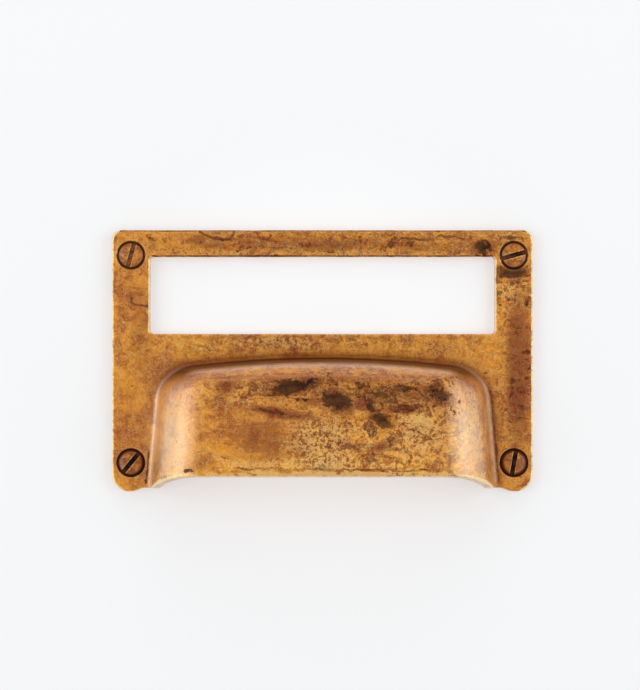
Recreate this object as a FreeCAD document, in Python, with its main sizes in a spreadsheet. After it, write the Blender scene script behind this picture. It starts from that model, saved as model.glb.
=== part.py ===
import FreeCAD, Part
import math
import os
from enum import IntEnum, auto

import Sketcher

# Driving dimensions, in millimetres and degrees
SIZES = {
    "plate_width": 102.2,
    "plate_height": 63.5,
    "plate_thickness": 3.0,
    "side_bar_width": 9.2,
    "top_bar_height": 6.5,
    "mid_bar_height": 6.1,
    "window_height": 18.7,
    "window_corner_radius": 0.9,
    "top_corner_radius": 2.4,
    "foot_corner_radius": 4.2,
    "foot_rise": 0.9,
    "edge_radius": 0.45,
    "cup_projection": 21.0,
    "cup_wall": 2.4,
    "cup_side_lean": 5.0,
    "cup_corner_radius": 9.0,
    "cup_crown_radius": 260.0,
    "cup_end_round": 12.5,
    "cup_top_round": 5.5,
    "cup_blend_radius": 1.3,
    "lip_slope": 14.0,
    "lip_start_radius": 12.0,
    "screw_top_inset": 6.1,
    "screw_foot_inset": 7.0,
    "screw_length": 19.0,
    "screw_shank_diameter": 3.0,
    "screw_thread_diameter": 3.5,
    "screw_point_length": 4.0,
    "head_diameter": 6.4,
    "head_angle": 82.0,
    "head_crown": 0.7,
    "head_rim": 0.15,
    "head_sink": 0.15,
    "slot_width": 1.15,
    "slot_depth": 1.1,
    "seat_clearance": 0.06,
    "thread_clearance": 0.25,
    "slot_turn_top_left": 75.0,
    "slot_turn_top_right": 15.5,
    "slot_turn_foot_left": 50.5,
    "slot_turn_foot_right": 80.0,
}

# Places worked out from the sizes; the origin is midway between the four screws, on the back face
SCREW_X = "(Sizes.plate_width - Sizes.side_bar_width) / 2"
SCREW_Z = "(Sizes.plate_height - Sizes.screw_top_inset - Sizes.screw_foot_inset) / 2"
PLATE_HALF = "(Sizes.plate_width / 2)"
PLATE_TOP = f"({SCREW_Z} + Sizes.screw_top_inset)"
PLATE_FOOT = f"({SCREW_Z} + Sizes.screw_foot_inset)"
WINDOW_HALF = f"({PLATE_HALF} - Sizes.side_bar_width)"
WINDOW_TOP = f"({PLATE_TOP} - Sizes.top_bar_height)"
WINDOW_BOTTOM = f"({WINDOW_TOP} - Sizes.window_height)"
CUP_HALF = WINDOW_HALF
CUP_TOP = f"({WINDOW_BOTTOM} - Sizes.mid_bar_height)"
CUP_FOOT = f"({PLATE_FOOT} - Sizes.foot_rise)"
BLEND_REACH = "(1.2 * Sizes.cup_blend_radius)"

# Turns through the cup's rounded wall, from the back plane to its front face, in degrees
WALL_TURNS = (0, 22.5, 45, 67.5, 90)
# Share by which the cup's corners tighten from the plate to its front face
CORNER_TIGHTENING = 0.35
# How late the cup's top turns towards its front face: 1 is an even curve from the plate
TOP_FULLNESS = 1.5
# Distance under which a point counts as lying on a face
TOUCHING = 1e-3
# Overshoot of a cut past the metal that it takes away
CLEAR_CUT = 5
# How far the cup's outside and its hollow are drawn on below its foot, to be trimmed level
CUP_DROP = "5"
HOLLOW_DROP = "10"


class Spot(IntEnum):
    """The points of a sketch segment that a constraint can take hold of."""

    START = auto()
    END = auto()
    CENTRE = auto()


START, END, CENTRE = Spot
# A sketch's own origin, as a constraint names it
ORIGIN = (-1, START)

doc = FreeCAD.newDocument("label_frame_pull")


def make_sheet():
    """Put every driving dimension in an aliased cell."""
    sheet = doc.addObject("Spreadsheet::Sheet", "Sizes")
    for row, (name, size) in enumerate(SIZES.items(), start=1):
        sheet.set(f"A{row}", name)
        sheet.set(f"B{row}", str(size))
        sheet.setAlias(f"B{row}", name)
    doc.recompute()
    return sheet


def number(expression):
    """The present value of an expression on the sheet, for a sketch's starting shape."""
    return float(doc.Sizes.evalExpression(expression))


def new_sketch(body, name, plane, offset="0"):
    """A sketch on one of the body's origin planes, moved along the plane's normal."""
    sketch = body.newObject("Sketcher::SketchObject", name)
    planes = {item.Role: item for item in body.Origin.OriginFeatures}
    sketch.AttachmentSupport = [(planes[plane], "")]
    sketch.MapMode = "FlatFace"
    sketch.setExpression("AttachmentOffset.Base.z", offset)
    return sketch


def trace(sketch, segments, corners=(), turned=()):
    """Draw a closed outline whose segments join smoothly, except after the ones listed in corners.

    A segment listed in turned is an arc that the outline follows clockwise.
    """
    sketch.addGeometry(segments, False)
    count = len(segments)
    for index in range(count):
        following = (index + 1) % count
        leaving = START if index in turned else END
        entering = END if following in turned else START
        kind = "Coincident" if index in corners else "Tangent"
        sketch.addConstraint(Sketcher.Constraint(kind, index, leaving, following, entering))


def bind(sketch, expression, kind, *where):
    """Add a dimension whose value follows the sheet."""
    value = number(expression)
    if kind == "Angle":
        value = math.radians(value)
    index = sketch.addConstraint(Sketcher.Constraint(kind, *where, value))
    sketch.setExpression(f"Constraints[{index}]", expression)


def level(sketch, *segments):
    """Keep lines horizontal."""
    for index in segments:
        sketch.addConstraint(Sketcher.Constraint("Horizontal", index))


def upright(sketch, *segments):
    """Keep lines vertical."""
    for index in segments:
        sketch.addConstraint(Sketcher.Constraint("Vertical", index))


def point(x, y):
    """A point of a sketch's starting shape."""
    return FreeCAD.Vector(x, y, 0)


def line(start, end):
    """A straight segment of a sketch's starting shape."""
    return Part.LineSegment(start, end)


def arc(centre, radius, first, last):
    """A counter-clockwise arc of a sketch's starting shape, between two angles in degrees."""
    circle = Part.Circle(centre, FreeCAD.Vector(0, 0, 1), radius)
    return Part.ArcOfCircle(circle, math.radians(first), math.radians(last))


def plate_sketch(body):
    """Outline of the frame plate, with small round top corners and two crowned feet."""
    sketch = new_sketch(body, "plate_outline", "XZ_Plane")
    half = number(PLATE_HALF)
    top = number(PLATE_TOP)
    foot = -number(PLATE_FOOT)
    rise = number("Sizes.foot_rise")
    inner = number(f"{CUP_HALF} + {BLEND_REACH}")
    round_top = number("Sizes.top_corner_radius")
    round_foot = number("Sizes.foot_corner_radius")
    reach = half - round_foot - inner
    crown = (reach**2 + rise**2) / (2 * rise)
    spread = math.degrees(math.asin(reach / crown))
    low = half - round_foot
    trace(
        sketch,
        [
            line(point(-inner, foot + rise), point(inner, foot + rise)),
            arc(point(low, foot + crown), crown, -90 - spread, -90),
            arc(point(low, foot + round_foot), round_foot, -90, 0),
            line(point(half, foot + round_foot), point(half, top - round_top)),
            arc(point(half - round_top, top - round_top), round_top, 0, 90),
            line(point(half - round_top, top), point(round_top - half, top)),
            arc(point(round_top - half, top - round_top), round_top, 90, 180),
            line(point(-half, top - round_top), point(-half, foot + round_foot)),
            arc(point(-low, foot + round_foot), round_foot, 180, 270),
            arc(point(-low, foot + crown), crown, -90, -90 + spread),
        ],
        corners=(0, 9),
    )
    level(sketch, 0, 5)
    upright(sketch, 3, 7)
    # Each foot is lowest where its corner meets its crown
    sketch.addConstraint(Sketcher.Constraint("Vertical", 2, CENTRE, 2, START))
    sketch.addConstraint(Sketcher.Constraint("Vertical", 8, CENTRE, 8, END))
    sketch.addConstraint(Sketcher.Constraint("Equal", 4, 6))
    sketch.addConstraint(Sketcher.Constraint("Equal", 2, 8))
    bind(sketch, "Sizes.top_corner_radius", "Radius", 4)
    bind(sketch, "Sizes.foot_corner_radius", "Radius", 2)
    bind(sketch, PLATE_HALF, "DistanceX", *ORIGIN, 3, START)
    bind(sketch, PLATE_HALF, "DistanceX", 7, START, *ORIGIN)
    bind(sketch, PLATE_TOP, "DistanceY", *ORIGIN, 5, START)
    bind(sketch, PLATE_FOOT, "DistanceY", 2, START, *ORIGIN)
    bind(sketch, PLATE_FOOT, "DistanceY", 8, END, *ORIGIN)
    bind(sketch, CUP_FOOT, "DistanceY", 0, START, *ORIGIN)
    bind(sketch, f"{CUP_HALF} + {BLEND_REACH}", "DistanceX", *ORIGIN, 0, END)
    bind(sketch, f"{CUP_HALF} + {BLEND_REACH}", "DistanceX", 0, START, *ORIGIN)
    return sketch


def window_sketch(body):
    """Outline of the label window."""
    sketch = new_sketch(body, "window_outline", "XZ_Plane")
    half = number(WINDOW_HALF)
    top = number(WINDOW_TOP)
    bottom = number(WINDOW_BOTTOM)
    radius = number("Sizes.window_corner_radius")
    side = half - radius
    trace(
        sketch,
        [
            line(point(-side, bottom), point(side, bottom)),
            arc(point(side, bottom + radius), radius, -90, 0),
            line(point(half, bottom + radius), point(half, top - radius)),
            arc(point(side, top - radius), radius, 0, 90),
            line(point(side, top), point(-side, top)),
            arc(point(-side, top - radius), radius, 90, 180),
            line(point(-half, top - radius), point(-half, bottom + radius)),
            arc(point(-side, bottom + radius), radius, 180, 270),
        ],
    )
    level(sketch, 0, 4)
    upright(sketch, 2, 6)
    for corner in (3, 5, 7):
        sketch.addConstraint(Sketcher.Constraint("Equal", 1, corner))
    bind(sketch, "Sizes.window_corner_radius", "Radius", 1)
    bind(sketch, WINDOW_HALF, "DistanceX", *ORIGIN, 2, START)
    bind(sketch, WINDOW_HALF, "DistanceX", 6, START, *ORIGIN)
    bind(sketch, WINDOW_TOP, "DistanceY", *ORIGIN, 4, START)
    bind(sketch, "Sizes.window_height", "DistanceY", 0, START, 4, END)
    return sketch


def arch_sketch(body, name, depth, half_width, top, corner_radius, drop):
    """One arch-shaped section of the cup, parallel to the plate and open downwards.

    The width is measured at the cup's foot, and drop carries the two sides on below it.
    """
    sketch = new_sketch(body, name, "XZ_Plane", depth)
    lean = number("Sizes.cup_side_lean")
    base = f"{half_width} + {drop} * tan(Sizes.cup_side_lean)"
    half = number(base)
    crest = number(top)
    foot = -number(f"{CUP_FOOT} + {drop}")
    radius = number(corner_radius)
    crown = number("Sizes.cup_crown_radius")
    crown_centre = point(0, crest - crown)
    # Corner centre: a corner radius inside the leaning side and inside the crown
    slant = math.radians(lean)
    along = FreeCAD.Vector(-math.sin(slant), math.cos(slant), 0)
    beside = FreeCAD.Vector(-math.cos(slant), -math.sin(slant), 0)
    start = point(half, foot) + beside * radius - crown_centre
    half_b = start.dot(along)
    travel = -half_b + math.sqrt(half_b**2 - start.dot(start) + (crown - radius) ** 2)
    corner = start + along * travel + crown_centre
    aim = math.degrees(math.atan2(corner.y - crown_centre.y, corner.x))
    side_top = corner - beside * radius
    mirrored_top = point(-side_top.x, side_top.y)
    mirrored_corner = point(-corner.x, corner.y)
    trace(
        sketch,
        [
            line(point(-half, foot), point(half, foot)),
            line(point(half, foot), side_top),
            arc(corner, radius, lean, aim),
            arc(crown_centre, crown, aim, 180 - aim),
            arc(mirrored_corner, radius, 180 - aim, 180 - lean),
            line(mirrored_top, point(-half, foot)),
        ],
        corners=(0, 5),
    )
    level(sketch, 0)
    sketch.addConstraint(Sketcher.Constraint("Equal", 2, 4))
    sketch.addConstraint(Sketcher.Constraint("Vertical", *ORIGIN, 3, CENTRE))
    bind(sketch, corner_radius, "Radius", 2)
    bind(sketch, "Sizes.cup_crown_radius", "Radius", 3)
    bind(sketch, f"Sizes.cup_crown_radius - {top}", "DistanceY", 3, CENTRE, *ORIGIN)
    bind(sketch, base, "DistanceX", *ORIGIN, 0, END)
    bind(sketch, base, "DistanceX", 0, START, *ORIGIN)
    bind(sketch, f"{CUP_FOOT} + {drop}", "DistanceY", 0, START, *ORIGIN)
    bind(sketch, "90 + Sizes.cup_side_lean", "Angle", 1)
    bind(sketch, "-90 - Sizes.cup_side_lean", "Angle", 5)
    return sketch


def add_loft(body, kind, name, inset, drop):
    """Join arch sections, an inset inside the cup's outer face, from the back plane to the cup's front."""
    sections = []
    for step, turn in enumerate(WALL_TURNS):
        fall = f"(1 - cos({turn} deg))"
        sections.append(
            arch_sketch(
                body,
                f"{name}_{step}",
                depth=f"(Sizes.cup_projection - {inset}) * sin({turn} deg)",
                half_width=f"({CUP_HALF} - {inset} - (Sizes.cup_end_round - {inset}) * {fall})",
                top=f"({CUP_TOP} - {inset} - (Sizes.cup_top_round - {inset}) * {fall} ^ {TOP_FULLNESS})",
                corner_radius=f"(Sizes.cup_corner_radius - {inset}) * (1 - {CORNER_TIGHTENING} * {fall})",
                drop=drop,
            )
        )
    loft = body.newObject(f"PartDesign::{kind}", name)
    loft.Profile = sections[0]
    loft.Sections = sections[1:]


def lip_sketch(body):
    """Side view of the metal cut from under the cup: level behind, then rising from the feet to the lip."""
    sketch = new_sketch(body, "lip_cut", "YZ_Plane")
    start = -number(f"Sizes.plate_thickness + {BLEND_REACH}")
    front = -number(f"Sizes.cup_projection + {CLEAR_CUT}")
    foot = -number(CUP_FOOT)
    radius = number("Sizes.lip_start_radius")
    slope = number("Sizes.lip_slope")
    turn = math.radians(slope)
    leave = point(start - radius * math.sin(turn), foot + radius * (1 - math.cos(turn)))
    rim = point(front, leave.y + (leave.x - front) * math.tan(turn))
    floor = foot - number(HOLLOW_DROP)
    trace(
        sketch,
        [
            line(point(front, floor), point(CLEAR_CUT, floor)),
            line(point(CLEAR_CUT, floor), point(CLEAR_CUT, foot)),
            line(point(CLEAR_CUT, foot), point(start, foot)),
            arc(point(start, foot + radius), radius, -90 - slope, -90),
            line(leave, rim),
            line(rim, point(front, floor)),
        ],
        corners=(0, 1, 4, 5),
        turned=(3,),
    )
    level(sketch, 0, 2)
    upright(sketch, 1, 5)
    bind(sketch, "Sizes.lip_start_radius", "Radius", 3)
    bind(sketch, f"Sizes.plate_thickness + {BLEND_REACH}", "DistanceX", 3, END, *ORIGIN)
    bind(sketch, CUP_FOOT, "DistanceY", 3, END, *ORIGIN)
    bind(sketch, "180 - Sizes.lip_slope", "Angle", 4)
    bind(sketch, f"Sizes.cup_projection + {CLEAR_CUT}", "DistanceX", 4, END, *ORIGIN)
    bind(sketch, f"{CUP_FOOT} + {HOLLOW_DROP}", "DistanceY", 0, START, *ORIGIN)
    bind(sketch, str(CLEAR_CUT), "DistanceX", *ORIGIN, 1, START)
    return sketch


def screw_places():
    """Name, place across, place upwards and slot turn of each screw."""
    return (
        ("top_left", f"-{SCREW_X}", SCREW_Z, "Sizes.slot_turn_top_left"),
        ("top_right", SCREW_X, SCREW_Z, "Sizes.slot_turn_top_right"),
        ("foot_left", f"-{SCREW_X}", f"-{SCREW_Z}", "Sizes.slot_turn_foot_left"),
        ("foot_right", SCREW_X, f"-{SCREW_Z}", "Sizes.slot_turn_foot_right"),
    )


def hole_sketch(body):
    """Centres of the four screw holes on the plate's front face."""
    sketch = new_sketch(body, "screw_centres", "XZ_Plane", "Sizes.plate_thickness")
    radius = number("Sizes.screw_thread_diameter / 2")
    for index, (_, across, upwards, _) in enumerate(screw_places()):
        x = number(across)
        z = number(upwards)
        circle = Part.Circle(point(x, z), FreeCAD.Vector(0, 0, 1), radius)
        sketch.addGeometry(circle, False)
        bind(sketch, "Sizes.screw_thread_diameter", "Diameter", index)
        sideways = (*ORIGIN, index, CENTRE) if x > 0 else (index, CENTRE, *ORIGIN)
        vertical = (*ORIGIN, index, CENTRE) if z > 0 else (index, CENTRE, *ORIGIN)
        bind(sketch, SCREW_X, "DistanceX", *sideways)
        bind(sketch, SCREW_Z, "DistanceY", *vertical)
    return sketch


def is_corner(shape, edge):
    """Whether the two faces along an edge meet at a real corner, not smoothly."""
    faces = shape.ancestorsOfType(edge, Part.Face)
    if len(faces) != 2:
        return False
    middle = edge.valueAt((edge.FirstParameter + edge.LastParameter) / 2)
    normals = [face.normalAt(*face.Surface.parameter(middle)) for face in faces]
    return normals[0].getAngle(normals[1]) > math.radians(40)


def on_front_face(edge):
    """Whether an edge lies in the plate's front face."""
    front = -number("Sizes.plate_thickness")
    return all(abs(corner.Y - front) < TOUCHING for corner in edge.Vertexes)


def on_back_face(edge):
    """Whether an edge lies in the plate's back face."""
    return all(abs(corner.Y) < TOUCHING for corner in edge.Vertexes)


def at_cup_root(_, edge):
    """Whether an edge runs along the foot of the cup's wall, on the plate's front face."""
    box = edge.BoundBox
    below = box.ZMax < number(CUP_TOP) + number("Sizes.mid_bar_height") / 2
    within = max(-box.XMin, box.XMax) < number(CUP_HALF) + TOUCHING
    above_foot = box.ZMax > TOUCHING - number(CUP_FOOT)
    return on_front_face(edge) and below and within and above_foot


def is_worn(shape, edge):
    """Whether an edge is one that use has rounded: any corner but those of the back and the screw holes."""
    return not on_back_face(edge) and not edge.isClosed() and is_corner(shape, edge)


def round_edges(name, base, radius, chosen):
    """Round the edges of a piece that the given test picks."""
    doc.recompute()
    size = number(radius)
    edges = enumerate(base.Shape.Edges, start=1)
    fillet = doc.addObject("Part::Fillet", name)
    fillet.Base = base
    fillet.Edges = [(index, size, size) for index, edge in edges if chosen(base.Shape, edge)]
    return fillet


def add_screw_holes(body):
    """Four countersunk holes through the plate, each a clearance larger than its screw."""
    doc.recompute()
    holes = body.newObject("PartDesign::Hole", "screw_holes")
    holes.Profile = hole_sketch(body)
    doc.recompute()
    holes.DepthType = "ThroughAll"
    holes.HoleCutType = "Countersink"
    holes.HoleCutCustomValues = True
    holes.setExpression("Diameter", "Sizes.screw_thread_diameter + 2 * Sizes.thread_clearance")
    holes.setExpression("HoleCutCountersinkAngle", "Sizes.head_angle")
    seat = "(Sizes.head_sink + Sizes.head_rim) * tan(Sizes.head_angle / 2)"
    slack = "Sizes.seat_clearance / cos(Sizes.head_angle / 2)"
    holes.setExpression("HoleCutDiameter", f"Sizes.head_diameter + 2 * ({seat} + {slack})")


def make_casting():
    """The frame plate and its finger cup, cast in one piece."""
    body = doc.addObject("PartDesign::Body", "casting_form")

    plate = body.newObject("PartDesign::Pad", "plate")
    plate.Profile = plate_sketch(body)
    plate.setExpression("Length", "Sizes.plate_thickness")

    add_loft(body, "AdditiveLoft", "cup", "0", CUP_DROP)
    add_loft(body, "SubtractiveLoft", "finger_hollow", "Sizes.cup_wall", HOLLOW_DROP)

    lip = body.newObject("PartDesign::Pocket", "lip")
    lip.Profile = lip_sketch(body)
    lip.SideType = "Symmetric"
    lip.setExpression("Length", f"2 * ({CUP_HALF} + {BLEND_REACH})")

    window = body.newObject("PartDesign::Pocket", "label_window")
    window.Profile = window_sketch(body)
    window.Type = "ThroughAll"
    window.SideType = "Symmetric"

    add_screw_holes(body)
    blend = round_edges("cup_blend", body, "Sizes.cup_blend_radius", at_cup_root)
    return round_edges("pull_casting", blend, "Sizes.edge_radius", is_worn)


def screw_profile(body):
    """Half section of a screw about its axis: raised head, plain neck, thread over its crests, point."""
    sketch = new_sketch(body, f"{body.Name}_profile", "XY_Plane")
    head = number("Sizes.head_diameter / 2")
    shank = number("Sizes.screw_shank_diameter / 2")
    crest = number("Sizes.screw_thread_diameter / 2")
    crown = number("Sizes.head_crown")
    rim = number("Sizes.head_sink - Sizes.plate_thickness")
    under_rim = rim + number("Sizes.head_rim")
    neck = under_rim + (head - shank) / math.tan(math.radians(number("Sizes.head_angle / 2")))
    tip = rim + number("Sizes.screw_length")
    cone = tip - number("Sizes.screw_point_length")
    dome = (head**2 + crown**2) / (2 * crown)
    sweep = math.degrees(math.asin(head / dome))
    trace(
        sketch,
        [
            arc(point(0, rim - crown + dome), dome, -90, -90 + sweep),
            line(point(head, rim), point(head, under_rim)),
            line(point(head, under_rim), point(shank, neck)),
            line(point(shank, neck), point(shank, 0)),
            line(point(shank, 0), point(crest, 0)),
            line(point(crest, 0), point(crest, cone)),
            line(point(crest, cone), point(0, tip)),
            line(point(0, tip), point(0, rim - crown)),
        ],
        corners=range(8),
    )
    upright(sketch, 1, 3, 5)
    sketch.addConstraint(Sketcher.Constraint("Vertical", *ORIGIN, 0, CENTRE))
    sketch.addConstraint(Sketcher.Constraint("Vertical", *ORIGIN, 0, START))
    sketch.addConstraint(Sketcher.Constraint("Vertical", *ORIGIN, 7, START))
    # The thread starts level with the plate's back face
    sketch.addConstraint(Sketcher.Constraint("Horizontal", *ORIGIN, 4, START))
    sketch.addConstraint(Sketcher.Constraint("Horizontal", *ORIGIN, 4, END))
    bind(sketch, "Sizes.head_diameter / 2", "DistanceX", *ORIGIN, 1, START)
    bind(sketch, "Sizes.screw_shank_diameter / 2", "DistanceX", *ORIGIN, 3, START)
    bind(sketch, "Sizes.screw_thread_diameter / 2", "DistanceX", *ORIGIN, 5, START)
    bind(sketch, "Sizes.plate_thickness - Sizes.head_sink", "DistanceY", 1, START, *ORIGIN)
    bind(sketch, "Sizes.head_crown", "DistanceY", 0, START, 0, END)
    bind(sketch, "Sizes.head_rim", "DistanceY", 1, START, 1, END)
    bind(sketch, "90 + Sizes.head_angle / 2", "Angle", 2)
    bind(sketch, "Sizes.screw_length", "DistanceY", 1, START, 6, END)
    bind(sketch, "Sizes.screw_point_length", "DistanceY", 6, START, 6, END)
    return sketch


def slot_sketch(body):
    """Section of the driver slot, cut straight across the head."""
    sketch = new_sketch(body, f"{body.Name}_slot_section", "YZ_Plane")
    half = number("Sizes.slot_width / 2")
    crest = number("Sizes.head_sink - Sizes.plate_thickness - Sizes.head_crown")
    bottom = crest + number("Sizes.slot_depth")
    mouth = crest - CLEAR_CUT
    trace(
        sketch,
        [
            line(point(mouth, -half), point(bottom, -half)),
            line(point(bottom, -half), point(bottom, half)),
            line(point(bottom, half), point(mouth, half)),
            line(point(mouth, half), point(mouth, -half)),
        ],
        corners=range(4),
    )
    level(sketch, 0, 2)
    upright(sketch, 1, 3)
    floor = "Sizes.plate_thickness + Sizes.head_crown - Sizes.head_sink - Sizes.slot_depth"
    bind(sketch, "Sizes.slot_width", "DistanceY", 1, START, 1, END)
    bind(sketch, "Sizes.slot_width / 2", "DistanceY", 1, START, *ORIGIN)
    bind(sketch, floor, "DistanceX", 1, START, *ORIGIN)
    bind(sketch, f"Sizes.slot_depth + {CLEAR_CUT}", "DistanceX", 0, START, 0, END)
    return sketch


def make_screw(place, across, upwards, turn):
    """One slotted wood screw in its hole, its slot turned as it was left."""
    body = doc.addObject("PartDesign::Body", f"screw_{place}")

    blank = body.newObject("PartDesign::Revolution", f"{body.Name}_blank")
    profile = screw_profile(body)
    blank.Profile = profile
    blank.ReferenceAxis = (profile, ["V_Axis"])
    blank.Angle = 360

    slot = body.newObject("PartDesign::Pocket", f"{body.Name}_slot")
    slot.Profile = slot_sketch(body)
    slot.Type = "ThroughAll"
    slot.SideType = "Symmetric"

    body.Placement = FreeCAD.Placement(
        FreeCAD.Vector(0, 0, 0), FreeCAD.Rotation(FreeCAD.Vector(0, -1, 0), number(turn))
    )
    body.setExpression("Placement.Base.x", across)
    body.setExpression("Placement.Base.z", upwards)
    body.setExpression("Placement.Rotation.Angle", turn)
    return body


def make_screws():
    """The four screws, as one group of separate solids."""
    group = doc.addObject("Part::Compound", "mounting_screws")
    group.Links = [make_screw(*place) for place in screw_places()]
    return group


def check(pieces):
    """Stop if any feature failed or any piece has no sound shape."""
    for item in doc.Objects:
        if "Invalid" in item.State or "Error" in item.State:
            raise RuntimeError(f"{item.Name} is {item.State}")
    for piece in pieces:
        if piece.Shape.isNull() or not piece.Shape.isValid():
            raise RuntimeError(f"{piece.Label} has no sound shape")


make_sheet()
pieces = [make_casting(), make_screws()]
doc.recompute()
check(pieces)
os.makedirs("parts", exist_ok=True)
for piece in pieces:
    piece.Shape.exportStep(f"parts/{piece.Label}.step")
    print(f"{piece.Label}: {len(piece.Shape.Solids)} solids, {piece.Shape.Volume:.1f} mm3")
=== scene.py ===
"""Aged brass label frame pull with its four screws, dressed over the CAD solids and lit on white."""
from __future__ import annotations

import logging
import math
from collections.abc import Mapping, Sequence
from dataclasses import dataclass, field
from enum import Enum

import bpy
import numpy as np
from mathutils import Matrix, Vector, noise

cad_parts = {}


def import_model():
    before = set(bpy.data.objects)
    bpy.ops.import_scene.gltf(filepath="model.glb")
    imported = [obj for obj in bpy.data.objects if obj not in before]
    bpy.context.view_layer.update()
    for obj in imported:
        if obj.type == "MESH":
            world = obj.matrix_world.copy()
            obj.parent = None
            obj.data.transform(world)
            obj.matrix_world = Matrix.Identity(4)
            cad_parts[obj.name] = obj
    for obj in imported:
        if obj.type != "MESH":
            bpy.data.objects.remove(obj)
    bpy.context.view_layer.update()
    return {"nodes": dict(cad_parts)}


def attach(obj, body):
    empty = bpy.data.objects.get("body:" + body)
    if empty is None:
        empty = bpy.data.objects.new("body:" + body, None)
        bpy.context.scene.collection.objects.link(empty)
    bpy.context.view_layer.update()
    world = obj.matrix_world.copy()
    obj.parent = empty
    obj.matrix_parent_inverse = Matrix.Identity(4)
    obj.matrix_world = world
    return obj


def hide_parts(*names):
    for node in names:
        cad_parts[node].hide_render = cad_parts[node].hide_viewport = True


MM = 0.001
SCREW_ACROSS = 46.5
SCREW_UP = 25.2
log = logging.getLogger("label_frame_pull")

Source = bpy.types.NodeSocket | float | str | tuple


@dataclass(frozen=True)
class Tone:
    """A colour as it is seen on screen, each channel from 0 to 255."""

    red: int
    green: int
    blue: int

    @property
    def linear(self) -> tuple[float, float, float, float]:
        """Give the colour in scene-linear values.

        Returns:
            Red, green, blue and a full alpha.
        """
        shares = (self.red / 255, self.green / 255, self.blue / 255)
        bent = [s / 12.92 if s <= 0.04045 else ((s + 0.055) / 1.055) ** 2.4 for s in shares]
        return (bent[0], bent[1], bent[2], 1.0)


class Graph:
    """A node tree being wired, with short calls for the nodes that recur."""

    def __init__(self, tree: bpy.types.NodeTree) -> None:
        """Take hold of the node tree to add to."""
        self.tree = tree

    def add(
        self, kind: str, inputs: Mapping[str | int, Source] | None = None, **settings: object
    ) -> bpy.types.Node:
        """Add a node.

        Args:
            kind: Blender's name of the node type.
            inputs: What goes into its inputs, by name or number.
            **settings: Properties set on the node.

        Returns:
            The new node.
        """
        node = self.tree.nodes.new(kind)
        for name, value in settings.items():
            setattr(node, name, value)
        for name, source in (inputs or {}).items():
            self.feed(node.inputs[name], source)
        return node

    def feed(self, socket: bpy.types.NodeSocket, source: Source) -> None:
        """Link a socket to an output, or give it a plain value.

        Args:
            socket: The input to fill.
            source: An output socket or a value.
        """
        if isinstance(source, bpy.types.NodeSocket):
            self.tree.links.new(source, socket)
        else:
            socket.default_value = source

    def math(self, operation: str, *sources: Source, clamp: bool = False) -> bpy.types.NodeSocket:
        """Add one of Blender's sums on the sources, held between 0 and 1 where it is to be clamped."""
        inputs = dict(enumerate(sources))
        return self.add("ShaderNodeMath", inputs, operation=operation, use_clamp=clamp).outputs[0]

    def step(self, value: Source, low: float, high: float) -> bpy.types.NodeSocket:
        """Turn a value into a soft mask that is 0 at the low value and 1 at the high one."""
        inputs = {"Value": value, "From Min": low, "From Max": high}
        return self.add("ShaderNodeMapRange", inputs, interpolation_type="SMOOTHSTEP").outputs[0]

    def mix(self, amount: Source, first: Source | Tone, second: Source | Tone) -> bpy.types.NodeSocket:
        """Mix two colours.

        Args:
            amount: Share of the second colour.
            first: Colour at 0.
            second: Colour at 1.

        Returns:
            The mixed colour's socket.
        """
        node = self.add("ShaderNodeMix", data_type="RGBA")
        sockets = {socket.identifier: socket for socket in node.inputs}
        for name, source in (("Factor_Float", amount), ("A_Color", first), ("B_Color", second)):
            self.feed(sockets[name], source.linear if isinstance(source, Tone) else source)
        return next(s for s in node.outputs if s.identifier == "Result_Color")

    def layered(
        self, colour: Source, layers: Sequence[tuple[Source, Source, Source | Tone]]
    ) -> bpy.types.NodeSocket:
        """Lay tones over a colour, one after another.

        Args:
            colour: The colour underneath.
            layers: For each layer, the mask where it lies, its share in the mask, and its tone.

        Returns:
            The new colour's socket.
        """
        for mask, share, tone in layers:
            colour = self.mix(self.math("MULTIPLY", mask, share), colour, tone)
        return colour

    def highest(self, *sources: Source) -> bpy.types.NodeSocket:
        """Give the highest of several values.

        Args:
            *sources: The values, two or more.

        Returns:
            The highest value's socket.
        """
        found = sources[0]
        for source in sources[1:]:
            found = self.math("MAXIMUM", found, source)
        return found

    def blend(self, amount: Source, first: Source, second: Source) -> bpy.types.NodeSocket:
        """Mix two numbers, with the amount as the second one's share."""
        return self.add("ShaderNodeMix", {0: amount, 2: first, 3: second}, data_type="FLOAT").outputs[0]

    def noise(
        self, place: Source, scale: float, detail: float, roughness: float = 0.55, bend: float = 0.0
    ) -> bpy.types.NodeSocket:
        """Add a noise pattern.

        Args:
            place: Coordinates in millimetres.
            scale: Waves to a millimetre.
            detail: Octaves.
            roughness: How strong the finer octaves are.
            bend: How far the pattern is pulled about.

        Returns:
            The pattern's value, about 0.5 on average.
        """
        inputs = {
            "Vector": place,
            "Scale": scale,
            "Detail": detail,
            "Roughness": roughness,
            "Distortion": bend,
        }
        return self.add("ShaderNodeTexNoise", inputs).outputs[0]

    def attribute(self, name: str) -> bpy.types.NodeSocket:
        """Read the number that the mesh keeps under a name."""
        return self.add("ShaderNodeAttribute", attribute_name=name).outputs["Fac"]

    def place(self) -> bpy.types.NodeSocket:
        """Give the place on the object in millimetres."""
        where = self.add("ShaderNodeTexCoord").outputs["Object"]
        return self.add("ShaderNodeVectorMath", {0: where, "Scale": 1 / MM}, operation="SCALE").outputs[0]

    def use(self, group: bpy.types.NodeTree, **sources: Source) -> bpy.types.bpy_prop_collection:
        """Put a node group to work on named sources, and give its outputs."""
        return self.add("ShaderNodeGroup", sources, node_tree=group).outputs


class SocketKind(Enum):
    """Kinds of socket that the node groups have."""

    VALUE = "NodeSocketFloat"
    VECTOR = "NodeSocketVector"
    SHAPE = "NodeSocketGeometry"
    OBJECT = "NodeSocketObject"
    MATERIAL = "NodeSocketMaterial"


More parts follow.
